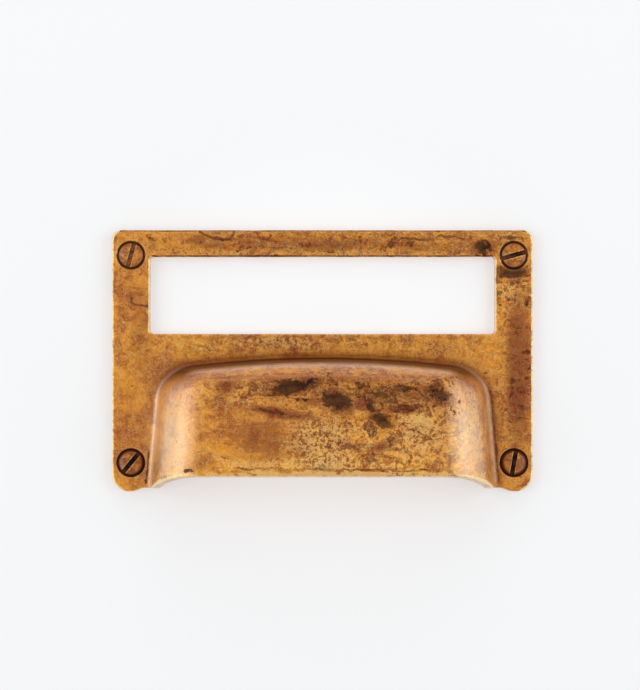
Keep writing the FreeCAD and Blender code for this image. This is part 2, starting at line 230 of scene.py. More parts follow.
def new_group(
    name: str,
    inputs: Mapping[str, SocketKind],
    outputs: Mapping[str, SocketKind],
    kind: str = "ShaderNodeTree",
) -> tuple[Graph, bpy.types.Node, bpy.types.Node]:
    """Start a node group with named sockets.

    Args:
        name: The group's name.
        inputs: Socket kinds by input name.
        outputs: Socket kinds by output name.
        kind: Blender's name of the tree type.

    Returns:
        The group's graph, its input node and its output node.
    """
    tree = bpy.data.node_groups.new(name, kind)
    for side, sockets in (("INPUT", inputs), ("OUTPUT", outputs)):
        for label, socket in sockets.items():
            tree.interface.new_socket(label, in_out=side, socket_type=socket.value)
    graph = Graph(tree)
    return graph, graph.add("NodeGroupInput"), graph.add("NodeGroupOutput")


def new_material(name: str) -> tuple[bpy.types.Material, Graph]:
    """Start a material with no nodes in it.

    Args:
        name: The material's name.

    Returns:
        The material and its graph.
    """
    material = bpy.data.materials.new(name)
    material.use_nodes = True
    material.node_tree.nodes.clear()
    return material, Graph(material.node_tree)


class BrassEffects:
    """Shader groups that the casting and the screws share."""

    def __init__(self) -> None:
        """Make the groups."""
        self.mottle = self._mottle()
        self.ragged = self._ragged()
        self.grain = self._grain()
        self.axis = self._axis()

    @staticmethod
    def _mottle() -> bpy.types.NodeTree:
        """Make the clouding of old brass at several sizes.

        Returns:
            A group from a place to Cloud, Drift, Blotch, Streak, Speck, Vein and Grit, each from 0 to 1.
        """
        names = ("Cloud", "Drift", "Blotch", "Streak", "Speck", "Vein", "Grit")
        outputs = {name: SocketKind.VALUE for name in names}
        graph, start, end = new_group("brass_mottle", {"Place": SocketKind.VECTOR}, outputs)
        place = start.outputs["Place"]
        stretch = {0: place, 1: (0.22, 0.8, 1.0)}
        drawn_out = graph.add("ShaderNodeVectorMath", stretch, operation="MULTIPLY").outputs[0]
        middle = 0.5
        patterns = {
            "Cloud": (graph.noise(place, scale=0.08, detail=2.0), 0.16),
            "Drift": (graph.noise(place, scale=0.2, detail=2.5, roughness=0.5, bend=0.6), 0.16),
            "Blotch": (graph.noise(place, scale=0.34, detail=6.0, roughness=0.62, bend=1.1), 0.16),
            "Streak": (graph.noise(drawn_out, scale=0.55, detail=5.0, roughness=0.6, bend=0.7), 0.16),
            "Speck": (graph.noise(place, scale=1.45, detail=4.0, roughness=0.68, bend=0.5), 0.18),
            "Grit": (graph.noise(place, scale=3.1, detail=2.0, roughness=0.6, bend=0.3), 0.2),
        }
        for name, (pattern, reach) in patterns.items():
            graph.feed(end.inputs[name], graph.step(pattern, middle - reach, middle + reach))
        thread = graph.noise(place, scale=0.5, detail=3.0, roughness=0.6, bend=0.8)
        beside = graph.math("ABSOLUTE", graph.math("SUBTRACT", thread, middle))
        graph.feed(end.inputs["Vein"], graph.step(beside, 0.03, 0.0))
        return graph.tree

    @staticmethod
    def _ragged() -> bpy.types.NodeTree:
        """Make masks with torn borders out of a soft field.

        Returns:
            A group from Field, Tear and Spread to Mask and its inner Core.
        """
        inputs = {name: SocketKind.VALUE for name in ("Field", "Tear", "Spread")}
        outputs = {name: SocketKind.VALUE for name in ("Mask", "Core")}
        graph, start, end = new_group("ragged_border", inputs, outputs)
        torn = graph.math("SUBTRACT", start.outputs["Tear"], 0.5)
        moved = graph.math("MULTIPLY_ADD", torn, start.outputs["Spread"], start.outputs["Field"])
        graph.feed(end.inputs["Mask"], graph.step(moved, 0.4, 0.6))
        graph.feed(end.inputs["Core"], graph.step(moved, 0.6, 0.85))
        return graph.tree

    @staticmethod
    def _grain() -> bpy.types.NodeTree:
        """Make the skin of a sand casting: fine grain with scattered pits.

        Returns:
            A group from a place to Height and Pit.
        """
        outputs = {"Height": SocketKind.VALUE, "Pit": SocketKind.VALUE}
        graph, start, end = new_group("cast_grain", {"Place": SocketKind.VECTOR}, outputs)
        place = start.outputs["Place"]
        cells = graph.add("ShaderNodeTexVoronoi", {"Vector": place, "Scale": 0.85}, feature="F1")
        sparse = graph.step(graph.noise(place, scale=0.22, detail=2.0), 0.5, 0.62)
        size = graph.math("MULTIPLY", sparse, 0.34)
        pit = graph.step(graph.math("SUBTRACT", size, cells.outputs["Distance"]), 0.0, 0.12)
        fine = graph.noise(place, scale=2.6, detail=4.0, roughness=0.6)
        soft = graph.math("MULTIPLY", graph.noise(place, scale=0.5, detail=2.0), 2.0)
        graph.feed(end.inputs["Height"], graph.math("SUBTRACT", graph.math("ADD", fine, soft), pit))
        graph.feed(end.inputs["Pit"], pit)
        return graph.tree

    @staticmethod
    def _axis() -> bpy.types.NodeTree:
        """Measure how far a place is from the nearest screw's axis.

        Returns:
            A group from a place and the screws' half spacings to Distance, all in millimetres.
        """
        inputs = {"Place": SocketKind.VECTOR, "Across": SocketKind.VALUE, "Up": SocketKind.VALUE}
        graph, start, end = new_group("screw_axis", inputs, {"Distance": SocketKind.VALUE})
        parts = graph.add("ShaderNodeSeparateXYZ", {0: start.outputs["Place"]})
        across = graph.math("ABSOLUTE", parts.outputs["X"])
        up = graph.math("ABSOLUTE", parts.outputs["Z"])
        aside = graph.math("SUBTRACT", across, start.outputs["Across"])
        above = graph.math("SUBTRACT", up, start.outputs["Up"])
        squares = graph.math("MULTIPLY_ADD", aside, aside, graph.math("MULTIPLY", above, above))
        graph.feed(end.inputs["Distance"], graph.math("SQRT", squares))
        return graph.tree


def ramp(values: np.ndarray, start: float, end: float) -> np.ndarray:
    """Turn values into a straight mask that is 0 at the start value and 1 at the end value."""
    return np.clip((values - start) / (end - start), 0.0, 1.0)


class StainAndPaintedLight(Enum):
    """Kinds of discolouring, each kept on the casting as a point attribute; a few marks among them are
    painted shade and painted highlights.
    """

    DARK = "stain_dark"
    RED = "stain_red"
    GREY = "stain_grey"
    RUBBED_AND_LIT = "stain_rubbed"
    BUSY = "stain_busy"
    WORN_AND_LIT = "stain_worn"
    BROWN = "stain_brown"


class Relief(Enum):
    """Facts about the casting's surface, each kept as a point attribute; some of them are painted shade
    and painted highlights.
    """

    EDGE = "worn_edge"
    RECESS = "dirt_recess"
    SHADE = "dirt_shade"
    ROOT = "dirt_root"
    SEAT = "dirt_seat"
    CRACK = "crack_line"
    GLEAM = "side_gleam"


@dataclass(frozen=True)
class Mark:
    """A stain, or a patch of painted shade or highlight, as it is seen from the front, in millimetres from
    the screw pattern's centre.
    """

    across: float
    up: float
    half_width: float
    half_height: float
    strength: float = 1.0
    turn: float = 0.0

    def field_at(self, seen: np.ndarray) -> np.ndarray:
        """Tell how strong the stain is at each point.

        Args:
            seen: Points across and up, one row each.

        Returns:
            The strength, half of its full value on the stain's border.
        """
        angle = math.radians(self.turn)
        offset = seen - np.array((self.across, self.up))
        along = offset @ np.array((math.cos(angle), math.sin(angle)))
        aside = offset @ np.array((-math.sin(angle), math.cos(angle)))
        reach = (along / self.half_width) ** 2 + (aside / self.half_height) ** 2
        return self.strength * np.exp(-math.log(2) * reach)


@dataclass(frozen=True)
class Crack:
    """A thin dark line in the casting's skin, as it is seen from the front, in millimetres."""

    points: Sequence[tuple[float, float]]
    depth: float = 1.0
    half_width: float = 0.6

    def field_at(self, seen: np.ndarray) -> np.ndarray:
        """Tell how near each point is to the line.

        Args:
            seen: Points across and up, one row each.

        Returns:
            The line's depth on it, falling to 0 beside it.
        """
        nearest = np.full(len(seen), np.inf)
        for first, last in zip(self.points, self.points[1:]):
            start = np.array(first)
            way = np.array(last) - start
            share = np.clip((seen - start) @ way / (way @ way), 0.0, 1.0)
            nearest = np.minimum(nearest, np.linalg.norm(seen - start - share[:, None] * way, axis=1))
        return self.depth * ramp(nearest, self.half_width, 0.0)


# Each mark gives across, up, half width, half height, strength, and its turn in degrees
STAINS_AND_PAINTED_LIGHT: Mapping[StainAndPaintedLight, Sequence[Mark]] = {
    StainAndPaintedLight.DARK: (
        Mark(-41.4, 29.1, 1.2, 0.9, 0.9, -30),
        Mark(-30.0, 28.4, 1.6, 0.8, 0.6),
        Mark(-1.0, 26.4, 4.5, 0.6, 0.6),
        Mark(39.0, 26.9, 3.6, 1.8, 0.95, 15),
        Mark(45.8, 29.5, 2.8, 0.7, 0.6),
        Mark(46.0, 21.2, 4.4, 1.3, 0.95),
        Mark(-43.3, 21.4, 0.9, 0.7, 0.9),
        Mark(49.7, 13.6, 0.8, 1.2, 1.0),
        Mark(42.6, 15.3, 0.7, 1.5, 0.45),
        Mark(48.2, -10.0, 1.8, 6.0, 0.42),
        Mark(49.6, -1.0, 0.8, 8.0, 0.38),
        Mark(46.0, -7.0, 0.6, 6.0, 0.4),
        Mark(47.8, 6.0, 1.2, 4.0, 0.45),
        Mark(-6.9, -6.7, 6.6, 1.7, 1.2, 10),
        Mark(-23.4, -6.6, 1.8, 1.4, 0.65),
        Mark(-19.3, -9.2, 0.9, 0.5, 0.9),
        Mark(-9.8, -13.2, 8.0, 0.7, 0.48, -8),
        Mark(3.5, -10.0, 3.8, 2.5, 1.2, -25),
        Mark(11.8, -10.4, 1.7, 1.8, 0.75),
        Mark(14.0, -14.4, 2.7, 1.5, 1.05, -25),
        Mark(20.0, -7.2, 7.0, 1.1, 0.62, -8),
        Mark(28.1, -8.5, 4.0, 2.4, 0.95, -20),
        Mark(20.0, -12.1, 5.5, 1.2, 0.75),
        Mark(-32.8, -27.3, 1.1, 0.4, 1.1),
        Mark(-5.7, -10.2, 0.6, 0.6, 1.0),
        Mark(-4.0, -9.7, 0.5, 0.5, 1.0),
        Mark(9.1, -7.2, 4.4, 0.7, 0.65),
        Mark(19.1, -7.6, 4.4, 0.5, 0.72, -4),
        Mark(11.7, -11.9, 2.4, 0.8, 1.1, -55),
        Mark(17.0, -8.2, 14.0, 2.4, 0.55, -4),
        Mark(12.8, -26.8, 4.5, 0.4, 0.8),
        Mark(24.9, -27.0, 1.6, 0.4, 0.9),
        Mark(14.0, -9.5, 18.0, 4.5, 0.42, -5),
        Mark(5.0, 28.2, 32.0, 2.4, 0.32),
        Mark(47.5, -3.0, 3.5, 18.0, 0.25),
    ),
    StainAndPaintedLight.RED: (
        Mark(-30.5, 28.7, 2.4, 1.5, 0.9),
        Mark(-26.6, 27.4, 4.2, 1.0, 0.7),
        Mark(-13.9, 28.9, 2.6, 1.0, 0.8),
        Mark(1.4, 27.7, 11.0, 1.7, 0.8),
        Mark(26.1, 27.0, 9.0, 1.2, 0.6),
        Mark(-45.5, 16.3, 3.2, 2.6, 0.5),
        Mark(47.7, -3.2, 2.8, 16.0, 1.0),
        Mark(-23.4, -6.6, 2.6, 2.0, 0.8),
        Mark(-9.8, -13.1, 9.0, 1.0, 1.0, -8),
        Mark(-15.2, -19.7, 8.0, 5.0, 0.75),
        Mark(-3.0, -10.4, 3.0, 1.5, 0.7),
        Mark(9.4, -10.9, 1.6, 1.6, 1.0),
        Mark(20.0, -12.1, 5.5, 1.2, 0.8),
        Mark(6.5, -21.0, 3.2, 1.0, 0.95, -25),
        Mark(13.5, -21.5, 2.6, 1.0, 0.95, 25),
        # Painted shade: a red-brown band along the cup's top, where it turns up from the front.
        Mark(0.0, -4.8, 40.0, 1.5, 0.62),
        Mark(0.0, 28.2, 44.0, 2.4, 0.55),
    ),
    StainAndPaintedLight.GREY: (
        Mark(44.8, 29.6, 3.4, 1.0, 0.9),
        Mark(-9.6, 3.9, 9.0, 1.4, 0.8),
        Mark(-0.6, -20.9, 6.5, 6.0, 1.0),
        Mark(23.7, -18.9, 5.5, 3.5, 0.85),
    ),
    StainAndPaintedLight.RUBBED_AND_LIT: (
        Mark(-42.4, 11.4, 0.4, 0.5, 0.9),
        Mark(-48.4, 9.0, 0.4, 0.6, 0.9),
        Mark(46.3, 16.3, 3.2, 3.0, 0.45),
        Mark(-28.5, 2.8, 5.0, 1.2, 0.6),
        Mark(23.7, -14.6, 3.6, 1.5, 0.9),
        # Wear and painted highlight: pale bands along the cup's lip.
        Mark(0.0, -25.7, 30.0, 2.0, 0.6),
        Mark(0.0, -28.0, 34.0, 0.8, 1.0),
    ),
    StainAndPaintedLight.BUSY: (
        Mark(15.0, -9.5, 17.0, 5.0, 1.0, -4),
        Mark(14.0, -18.0, 20.0, 8.0, 0.8),
        Mark(-14.0, -8.0, 12.0, 4.0, 0.6),
        Mark(0.0, 4.0, 45.0, 3.0, 0.3),
        Mark(5.0, 28.0, 34.0, 3.0, 0.6),
        Mark(46.0, 19.0, 5.0, 9.0, 0.8),
        Mark(47.0, -6.0, 4.0, 18.0, 0.5),
    ),
    StainAndPaintedLight.WORN_AND_LIT: (
        # Painted highlight, partly wear: a soft cream band on each end of the cup.
        Mark(-36.9, -19.5, 3.8, 9.0, 1.0),
        Mark(35.6, -19.5, 3.6, 9.0, 0.85),
    ),
    StainAndPaintedLight.BROWN: (
        # Painted shade on the cup's two upper corners.
        Mark(-36.0, -4.6, 4.0, 2.2, 1.0, 35),
        Mark(35.5, -4.6, 4.0, 2.2, 1.0, -35),
        Mark(-44.3, 7.5, 2.0, 8.0, 0.7),
        Mark(47.4, -1.0, 2.4, 15.0, 0.8),
        Mark(47.6, 9.5, 2.2, 4.0, 0.8),
        Mark(46.0, 21.0, 5.0, 2.2, 0.7),
        Mark(39.0, 26.9, 4.6, 2.4, 0.8),
        Mark(-27.0, 28.6, 5.0, 1.8, 0.6),
        Mark(0.0, 28.2, 44.0, 2.4, 0.3),
        Mark(-23.4, -6.6, 2.8, 1.8, 1.0),
        Mark(-6.9, -6.9, 8.0, 2.4, 0.7, 8),
        Mark(3.5, -10.0, 5.0, 3.6, 0.8, -25),
        Mark(14.0, -13.8, 5.0, 3.0, 0.7, -25),
        Mark(19.0, -8.6, 14.0, 3.0, 0.85, -5),
        Mark(28.4, -8.5, 4.6, 3.4, 0.6, -20),
        Mark(-9.8, -13.1, 9.0, 1.6, 0.6, -8),
    ),
}

CRACKS = (
    Crack(((-30.0, 30.8), (-28.0, 29.9), (-26.1, 29.3), (-23.4, 29.1), (-21.7, 29.9), (-21.2, 31.1)), 1.3),
    Crack(((-20.5, 26.2), (-17.5, 27.0), (-14.7, 28.2)), 0.6),
    Crack(((19.3, 29.4), (23.2, 29.1), (26.1, 28.9), (29.0, 29.9), (32.2, 29.6), (34.6, 28.9))),
    Crack(((-46.0, 15.1), (-45.8, 13.8), (-44.5, 13.1), (-42.6, 12.6)), 0.9),
    Crack(((-44.6, 20.4), (-43.3, 21.4), (-42.3, 22.4)), 0.9),
    Crack(((-44.4, 22.2), (-43.3, 21.4), (-42.4, 20.6)), 0.9),
    Crack(((14.0, -7.0), (18.8, -6.6), (23.2, -7.8), (26.6, -10.0)), 0.9),
    Crack(((-21.0, -26.6), (-6.0, -26.9), (10.0, -27.0), (23.7, -27.2)), 0.6),
)


@dataclass(frozen=True)
class CameraPlan:
    """Where the photograph was taken from: square on to the plate, in millimetres."""

    distance: float = 700.0
    plate_front: float = -3.0
    across: float = -0.58
    up: float = 3.4
    field_height: float = 167.56
    sensor: float = 36.0

    @property
    def place(self) -> Vector:
        """Give the camera's place in metres."""
        return Vector((self.across, self.plate_front - self.distance, self.up)) * MM

    def seen(self, points: np.ndarray) -> np.ndarray:
        """Tell where points are seen against the plate's front.

        Args:
            points: Points in millimetres, one row each.

        Returns:
            Across and up on the plate's front, in millimetres.
        """
        nearness = self.distance / (points[:, 1] - self.plate_front + self.distance)
        centre = np.array((self.across, self.up))
        return centre + (points[:, (0, 2)] - centre) * nearness[:, None]


@dataclass(frozen=True)
class BrassWithPaintedLight:
    """Old cast brass under wax: mottled gold going brown, red and black, with painted shade and painted
    highlights laid over it.

    A ring around a screw is where its mask is 0 and where it is 1, in millimetres from the axis.
    """

    gold: Tone = Tone(243, 156, 28)
    light_gold: Tone = Tone(255, 207, 114)
    warm_brown: Tone = Tone(182, 88, 8)
    red_brown: Tone = Tone(138, 56, 8)
    umber: Tone = Tone(84, 31, 6)
    # Tone of the painted shade above the cup, partly dirt.
    deep_brown: Tone = Tone(118, 50, 4)
    # Tone of the painted shade on the cup's top, partly dust.
    root_brown: Tone = Tone(80, 28, 0)
    # Tone of the painted shadow round the screw heads.
    seat_brown: Tone = Tone(48, 18, 6)
    black: Tone = Tone(30, 14, 8)
    grey: Tone = Tone(236, 180, 100)
    pale_edge: Tone = Tone(255, 234, 160)
    cream: Tone = Tone(248, 226, 196)
    # Tone of the painted highlight on the cup's ends.
    highlight_cream: Tone = Tone(252, 234, 190)
    seat_ring: tuple[float, float] = (3.62, 3.46)
    # Where the painted highlight on each countersink's outer edge begins and ends.
    glint_inner_ring: tuple[float, float] = (3.56, 3.7)
    glint_outer_ring: tuple[float, float] = (4.05, 3.8)
    head_rim_ring: tuple[float, float] = (2.75, 2.98)
    head_shade_ring: tuple[float, float] = (1.5, 2.9)
    bare_metal: float = 0.16
    tarnished_metal: float = 0.06
    roughness: float = 0.34
    blotch_roughness: float = 0.1
    tarnish_roughness: float = 0.12
    relief: float = 0.014
    specular: float = 0.15
    wax_roughness: float = 0.27
    wax_ior: float = 1.8

    def _mottled(
        self, graph: Graph, mottle: bpy.types.bpy_prop_collection, busy: Source
    ) -> bpy.types.NodeSocket:
        """Colour the brass itself.

        Args:
            graph: The material's graph.
            mottle: The mottle group's outputs.
            busy: How restless the colour is, from 0 to 1.

        Returns:
            The colour's socket.
        """
        calm = graph.blend(0.25, graph.blend(0.55, mottle["Cloud"], mottle["Drift"]), mottle["Blotch"])
        soft = graph.blend(busy, calm, mottle["Blotch"])
        ground = graph.mix(graph.step(soft, 0.05, 0.8), self.warm_brown, self.gold)
        faded = graph.math("MULTIPLY", mottle["Streak"], mottle["Blotch"])
        soot = graph.step(mottle["Grit"], 0.45, 0.0)
        glint = graph.step(mottle["Grit"], 0.7, 1.0)
        layers = (
            (graph.step(mottle["Speck"], 0.56, 0.85), graph.blend(busy, 0.22, 0.8), self.light_gold),
            (graph.step(mottle["Speck"], 0.36, 0.1), graph.blend(busy, 0.12, 0.8), self.red_brown),
            (graph.step(faded, 0.22, 0.0), graph.blend(busy, 0.12, 0.85), self.umber),
            (mottle["Vein"], graph.blend(busy, 0.3, 0.65), self.light_gold),
            (soot, graph.blend(mottle["Blotch"], 0.2, 0.06), self.red_brown),
            (glint, graph.blend(mottle["Streak"], 0.12, 0.36), self.light_gold),
        )
        return graph.layered(ground, layers)

    def _surface(
        self,
        graph: Graph,
        colour: bpy.types.NodeSocket,
        tarnish: bpy.types.NodeSocket,
        blotch: bpy.types.NodeSocket,
        height: bpy.types.NodeSocket,
        dull: Source,
    ) -> None:
        """End the material with a waxed metal.

        Args:
            graph: The material's graph.
            colour: Base colour.
            tarnish: How far the metal is covered.
            blotch: The mottle that makes the roughness uneven.
            height: Relief of the cast skin, in units of the finish's relief.
            dull: Where dark stains, dirt and painted shade cover the wax.
        """
        rough = graph.math("MULTIPLY_ADD", blotch, self.blotch_roughness, self.roughness)
        rough = graph.math("MULTIPLY_ADD", tarnish, self.tarnish_roughness, rough)
        relief = {"Height": height, "Distance": self.relief * MM, "Strength": 1.0}
        surface = {
            "Base Color": colour,
            "Metallic": graph.blend(tarnish, self.bare_metal, self.tarnished_metal),
            "Roughness": rough,
            "Normal": graph.add("ShaderNodeBump", relief).outputs["Normal"],
            "Coat Weight": graph.blend(dull, 1.0, 0.0),
            "Specular IOR Level": self.specular,
            "Coat Roughness": self.wax_roughness,
            "Coat IOR": self.wax_ior,
        }
        metal = graph.add("ShaderNodeBsdfPrincipled", surface)
        graph.add("ShaderNodeOutputMaterial", {"Surface": metal.outputs["BSDF"]})

    def casting(self, effects: BrassEffects) -> bpy.types.Material:
        """Make the casting's material.

        Args:
            effects: The shared shader groups.

        Returns:
            The material.
        """
        material, graph = new_material("casting_brass")
        place = graph.place()
        mottle = graph.use(effects.mottle, Place=place)
        grain = graph.use(effects.grain, Place=place)
        tear = graph.blend(0.34, graph.blend(0.5, mottle["Blotch"], mottle["Streak"]), mottle["Speck"])

        def torn(name: str, spread: float) -> bpy.types.bpy_prop_collection:
            """Read a field and tear its border, which wanders as far as the spread says."""
            return graph.use(effects.ragged, Field=graph.attribute(name), Tear=tear, Spread=spread)

        dark = torn(StainAndPaintedLight.DARK.value, 1.35)
        red = torn(StainAndPaintedLight.RED.value, 1.1)["Mask"]
        grey = torn(StainAndPaintedLight.GREY.value, 1.1)["Mask"]
        rubbed_and_lit_mask = torn(StainAndPaintedLight.RUBBED_AND_LIT.value, 1.2)["Mask"]
        edge = torn(Relief.EDGE.value, 0.45)["Mask"]
        recess = torn(Relief.RECESS.value, 0.6)["Mask"]
        crack = torn(Relief.CRACK.value, 1.1)["Mask"]
        shade = graph.attribute(Relief.SHADE.value)
        root = graph.attribute(Relief.ROOT.value)
        front = graph.attribute(Relief.SEAT.value)
        off_axis = graph.use(effects.axis, Place=place, Across=SCREW_ACROSS, Up=SCREW_UP)["Distance"]
        # Painted highlight: a thin pale ring on each countersink's outer edge.
        outside = graph.step(off_axis, *self.glint_inner_ring)
        inside = graph.step(off_axis, *self.glint_outer_ring)
        seat_glint = graph.math("MULTIPLY", graph.math("MULTIPLY", outside, inside), front)
        # Painted shadow, partly dirt, in the gap round each screw head.
        seat = graph.math("MULTIPLY", graph.step(off_axis, *self.seat_ring), front)
        speckle = graph.mix(graph.step(mottle["Speck"], 0.25, 0.6), self.umber, self.grey)
        layers = (
            # Rubbed patches, with wear and painted highlight along the cup's lip.
            (rubbed_and_lit_mask, 0.6, self.light_gold),
            # Painted highlight, partly wear, on the cup's ends.
            (graph.attribute(StainAndPaintedLight.WORN_AND_LIT.value), 0.38, self.highlight_cream),
            # Brown stains, with painted shade on the cup's upper corners.
            (graph.attribute(StainAndPaintedLight.BROWN.value), 0.5, self.red_brown),
            # Red-brown stains, with a band of painted shade along the cup's top.
            (red, 0.6, self.red_brown),
            (grey, 0.55, speckle),
            (dark["Mask"], 0.72, self.umber),
            (dark["Core"], graph.blend(mottle["Streak"], 0.95, 0.5), self.black),
            (crack, 0.7, self.umber),
            (grain["Pit"], 0.14, self.umber),
            # Painted shade, partly dirt, in the cup's foot and along the frame's top edges.
            (recess, 0.9, self.umber),
            # Painted shade, partly dirt, above and beside the cup.
            (shade, 0.8, self.deep_brown),
            # Painted shade, partly dust, on the cup's top near the plate.
            (root, 0.9, self.root_brown),
            # Painted highlight on each countersink's outer edge.
            (seat_glint, 0.09, self.light_gold),
            # Painted shadow, partly dirt, in the gap round each screw head.
            (seat, 1.0, self.seat_brown),
            # Wear and painted highlight along the edges.
            (edge, 0.8, self.pale_edge),
            # Painted highlight in the cup's side fillets.
            (graph.attribute(Relief.GLEAM.value), 0.2, self.cream),
        )
        colour = graph.layered(self._mottled(graph, mottle, graph.attribute(StainAndPaintedLight.BUSY.value)), layers)
        tarnish = graph.highest(dark["Mask"], recess, graph.math("MULTIPLY", grey, 0.4))
        height = graph.math("SUBTRACT", grain["Height"], graph.math("MULTIPLY", crack, 2.0))
        # Dark stains, dirt and painted shade take the wax's gloss away.
        dull = graph.highest(graph.math("MULTIPLY", dark["Mask"], 0.8), root, seat, recess, shade)
        self._surface(graph, colour, tarnish, mottle["Blotch"], height, dull)
        return material

    def screws(self, effects: BrassEffects) -> bpy.types.Material:
        """Make the screws' material.

        Args:
            effects: The shared shader groups.

        Returns:
            The material.
        """
        material, graph = new_material("screw_brass")
        place = graph.place()
        mottle = graph.use(effects.mottle, Place=place)
        grain = graph.use(effects.grain, Place=place)
        tear = graph.blend(0.4, mottle["Blotch"], mottle["Speck"])
        grime_and_shade_mask = graph.use(effects.ragged, Field=graph.attribute("grime_and_shade"), Tear=tear, Spread=0.5)
        off_axis = graph.use(effects.axis, Place=place, Across=SCREW_ACROSS, Up=SCREW_UP)["Distance"]
        # Painted shadow: a dark ring at the head's rim, where it meets the seat.
        rim = graph.step(off_axis, *self.head_rim_ring)
        layers = (
            # Grime and painted shade at the rim and in the slot.
            (grime_and_shade_mask["Mask"], 0.85, self.umber),
            (grime_and_shade_mask["Core"], 0.9, self.black),
            (graph.step(off_axis, *self.head_shade_ring), 0.5, self.red_brown),
            # Painted highlight along the slot's lips.
            (graph.attribute("slot_lip_highlight"), graph.blend(mottle["Speck"], 0.15, 0.75), self.pale_edge),
            # Painted shadow at the head's rim.
            (rim, 0.9, self.seat_brown),
        )
        ground = graph.mix(0.42, self._mottled(graph, mottle, 0.5), self.red_brown)
        dull = graph.highest(grime_and_shade_mask["Core"], rim, 0.4)
        colour = graph.layered(ground, layers)
        self._surface(graph, colour, grime_and_shade_mask["Mask"], mottle["Blotch"], grain["Height"], dull)
        return material


def link(name: str, mesh: bpy.types.Mesh) -> bpy.types.Object:
    """Put a mesh in the scene.

    Args:
        name: The object's name.
        mesh: Its mesh.

    Returns:
        The new object.
    """
    made = bpy.data.objects.new(name, mesh)
    bpy.context.scene.collection.objects.link(made)
    return made


def settle(worked: bpy.types.Object) -> bpy.types.Mesh:
    """Turn an object with modifiers into a plain mesh and take the object away.

    Args:
        worked: The object with its modifiers.

    Returns:
        The finished mesh.
    """
    graph = bpy.context.evaluated_depsgraph_get()
    graph.update()
    mesh = bpy.data.meshes.new_from_object(worked.evaluated_get(graph))
    bpy.data.objects.remove(worked)
    return mesh


class Skin:
    """A mesh's points and edges as arrays, in millimetres, for reading and reshaping."""

    def __init__(self, mesh: bpy.types.Mesh) -> None:
        """Read a mesh.

        Args:
            mesh: The mesh, in metres.
        """
        self.mesh = mesh
        self.count = len(mesh.vertices)
        points = np.empty(self.count * 3, dtype=np.float32)
        mesh.vertices.foreach_get("co", points)
        self.points = points.reshape(-1, 3).astype(np.float64) / MM
        edges = np.empty(len(mesh.edges) * 2, dtype=np.int32)
        mesh.edges.foreach_get("vertices", edges)
        self.edges = edges.reshape(-1, 2)
        self.degree = np.maximum(np.bincount(self.edges.ravel(), minlength=self.count), 1)

    def around(self, values: np.ndarray) -> np.ndarray:
        """Average a value over each point's neighbours.

        Args:
            values: One value for each point.

        Returns:
            The neighbours' average for each point.
        """
        total = np.bincount(self.edges[:, 0], values[self.edges[:, 1]], self.count)
        total += np.bincount(self.edges[:, 1], values[self.edges[:, 0]], self.count)
        return total / self.degree

    def towards_neighbours(self) -> np.ndarray:
        """Give each point's way to the middle of its neighbours, one row each."""
        middles = [self.around(self.points[:, axis]) for axis in range(3)]
        return np.stack(middles, axis=1) - self.points

    def smooth(self, rounds: int) -> None:
        """Ease small facets out without shrinking the shape.

        Args:
            rounds: How many times to smooth and swell.
        """
        inwards, outwards = 0.5, -0.52
        for _ in range(rounds):
            for share in (inwards, outwards):
                self.points += share * self.towards_neighbours()

    def normals(self) -> np.ndarray:
        """Give the outward direction at each point.

        Returns:
            One unit row for each point.
        """
        self.write()
        found = np.empty(self.count * 3, dtype=np.float32)
        self.mesh.vertices.foreach_get("normal", found)
        return found.reshape(-1, 3).astype(np.float64)

    def bending(self) -> np.ndarray:
        """Tell how sharply the surface bends, over about a millimetre.

        Returns:
            Above 0 on outer edges and below 0 in inner corners, one value for each point.
        """
        bent = -np.einsum("ij,ij->i", self.towards_neighbours(), self.normals())
        length = np.linalg.norm(self.points[self.edges[:, 0]] - self.points[self.edges[:, 1]], axis=1)
        spacing = np.bincount(self.edges[:, 0], length, self.count)
        spacing += np.bincount(self.edges[:, 1], length, self.count)
        bent /= (spacing / self.degree) ** 2
        return self.spread(bent, 3)

    def spread(self, values: np.ndarray, rounds: int) -> np.ndarray:
        """Spread a value over the surface.

        Args:
            values: One value for each point.
            rounds: How many neighbours far it goes, about.

        Returns:
            The softened values.
        """
        for _ in range(rounds):
            values = 0.5 * (values + self.around(values))
        return values

    def keep(self, name: str, values: np.ndarray) -> None:
        """Store one value for each point as an attribute of that name."""
        layer = self.mesh.attributes.new(name, "FLOAT", "POINT")
        layer.data.foreach_set("value", values.astype(np.float32))

    def write(self) -> None:
        """Put the points back into the mesh."""
        self.mesh.vertices.foreach_set("co", (self.points * MM).astype(np.float32).ravel())
        self.mesh.update()


def waves(points: np.ndarray, length: float) -> np.ndarray:
    """Give soft waves of a length in millimetres over points, from about -1 to 1."""
    return np.array([noise.noise(Vector(row) / length) for row in points])


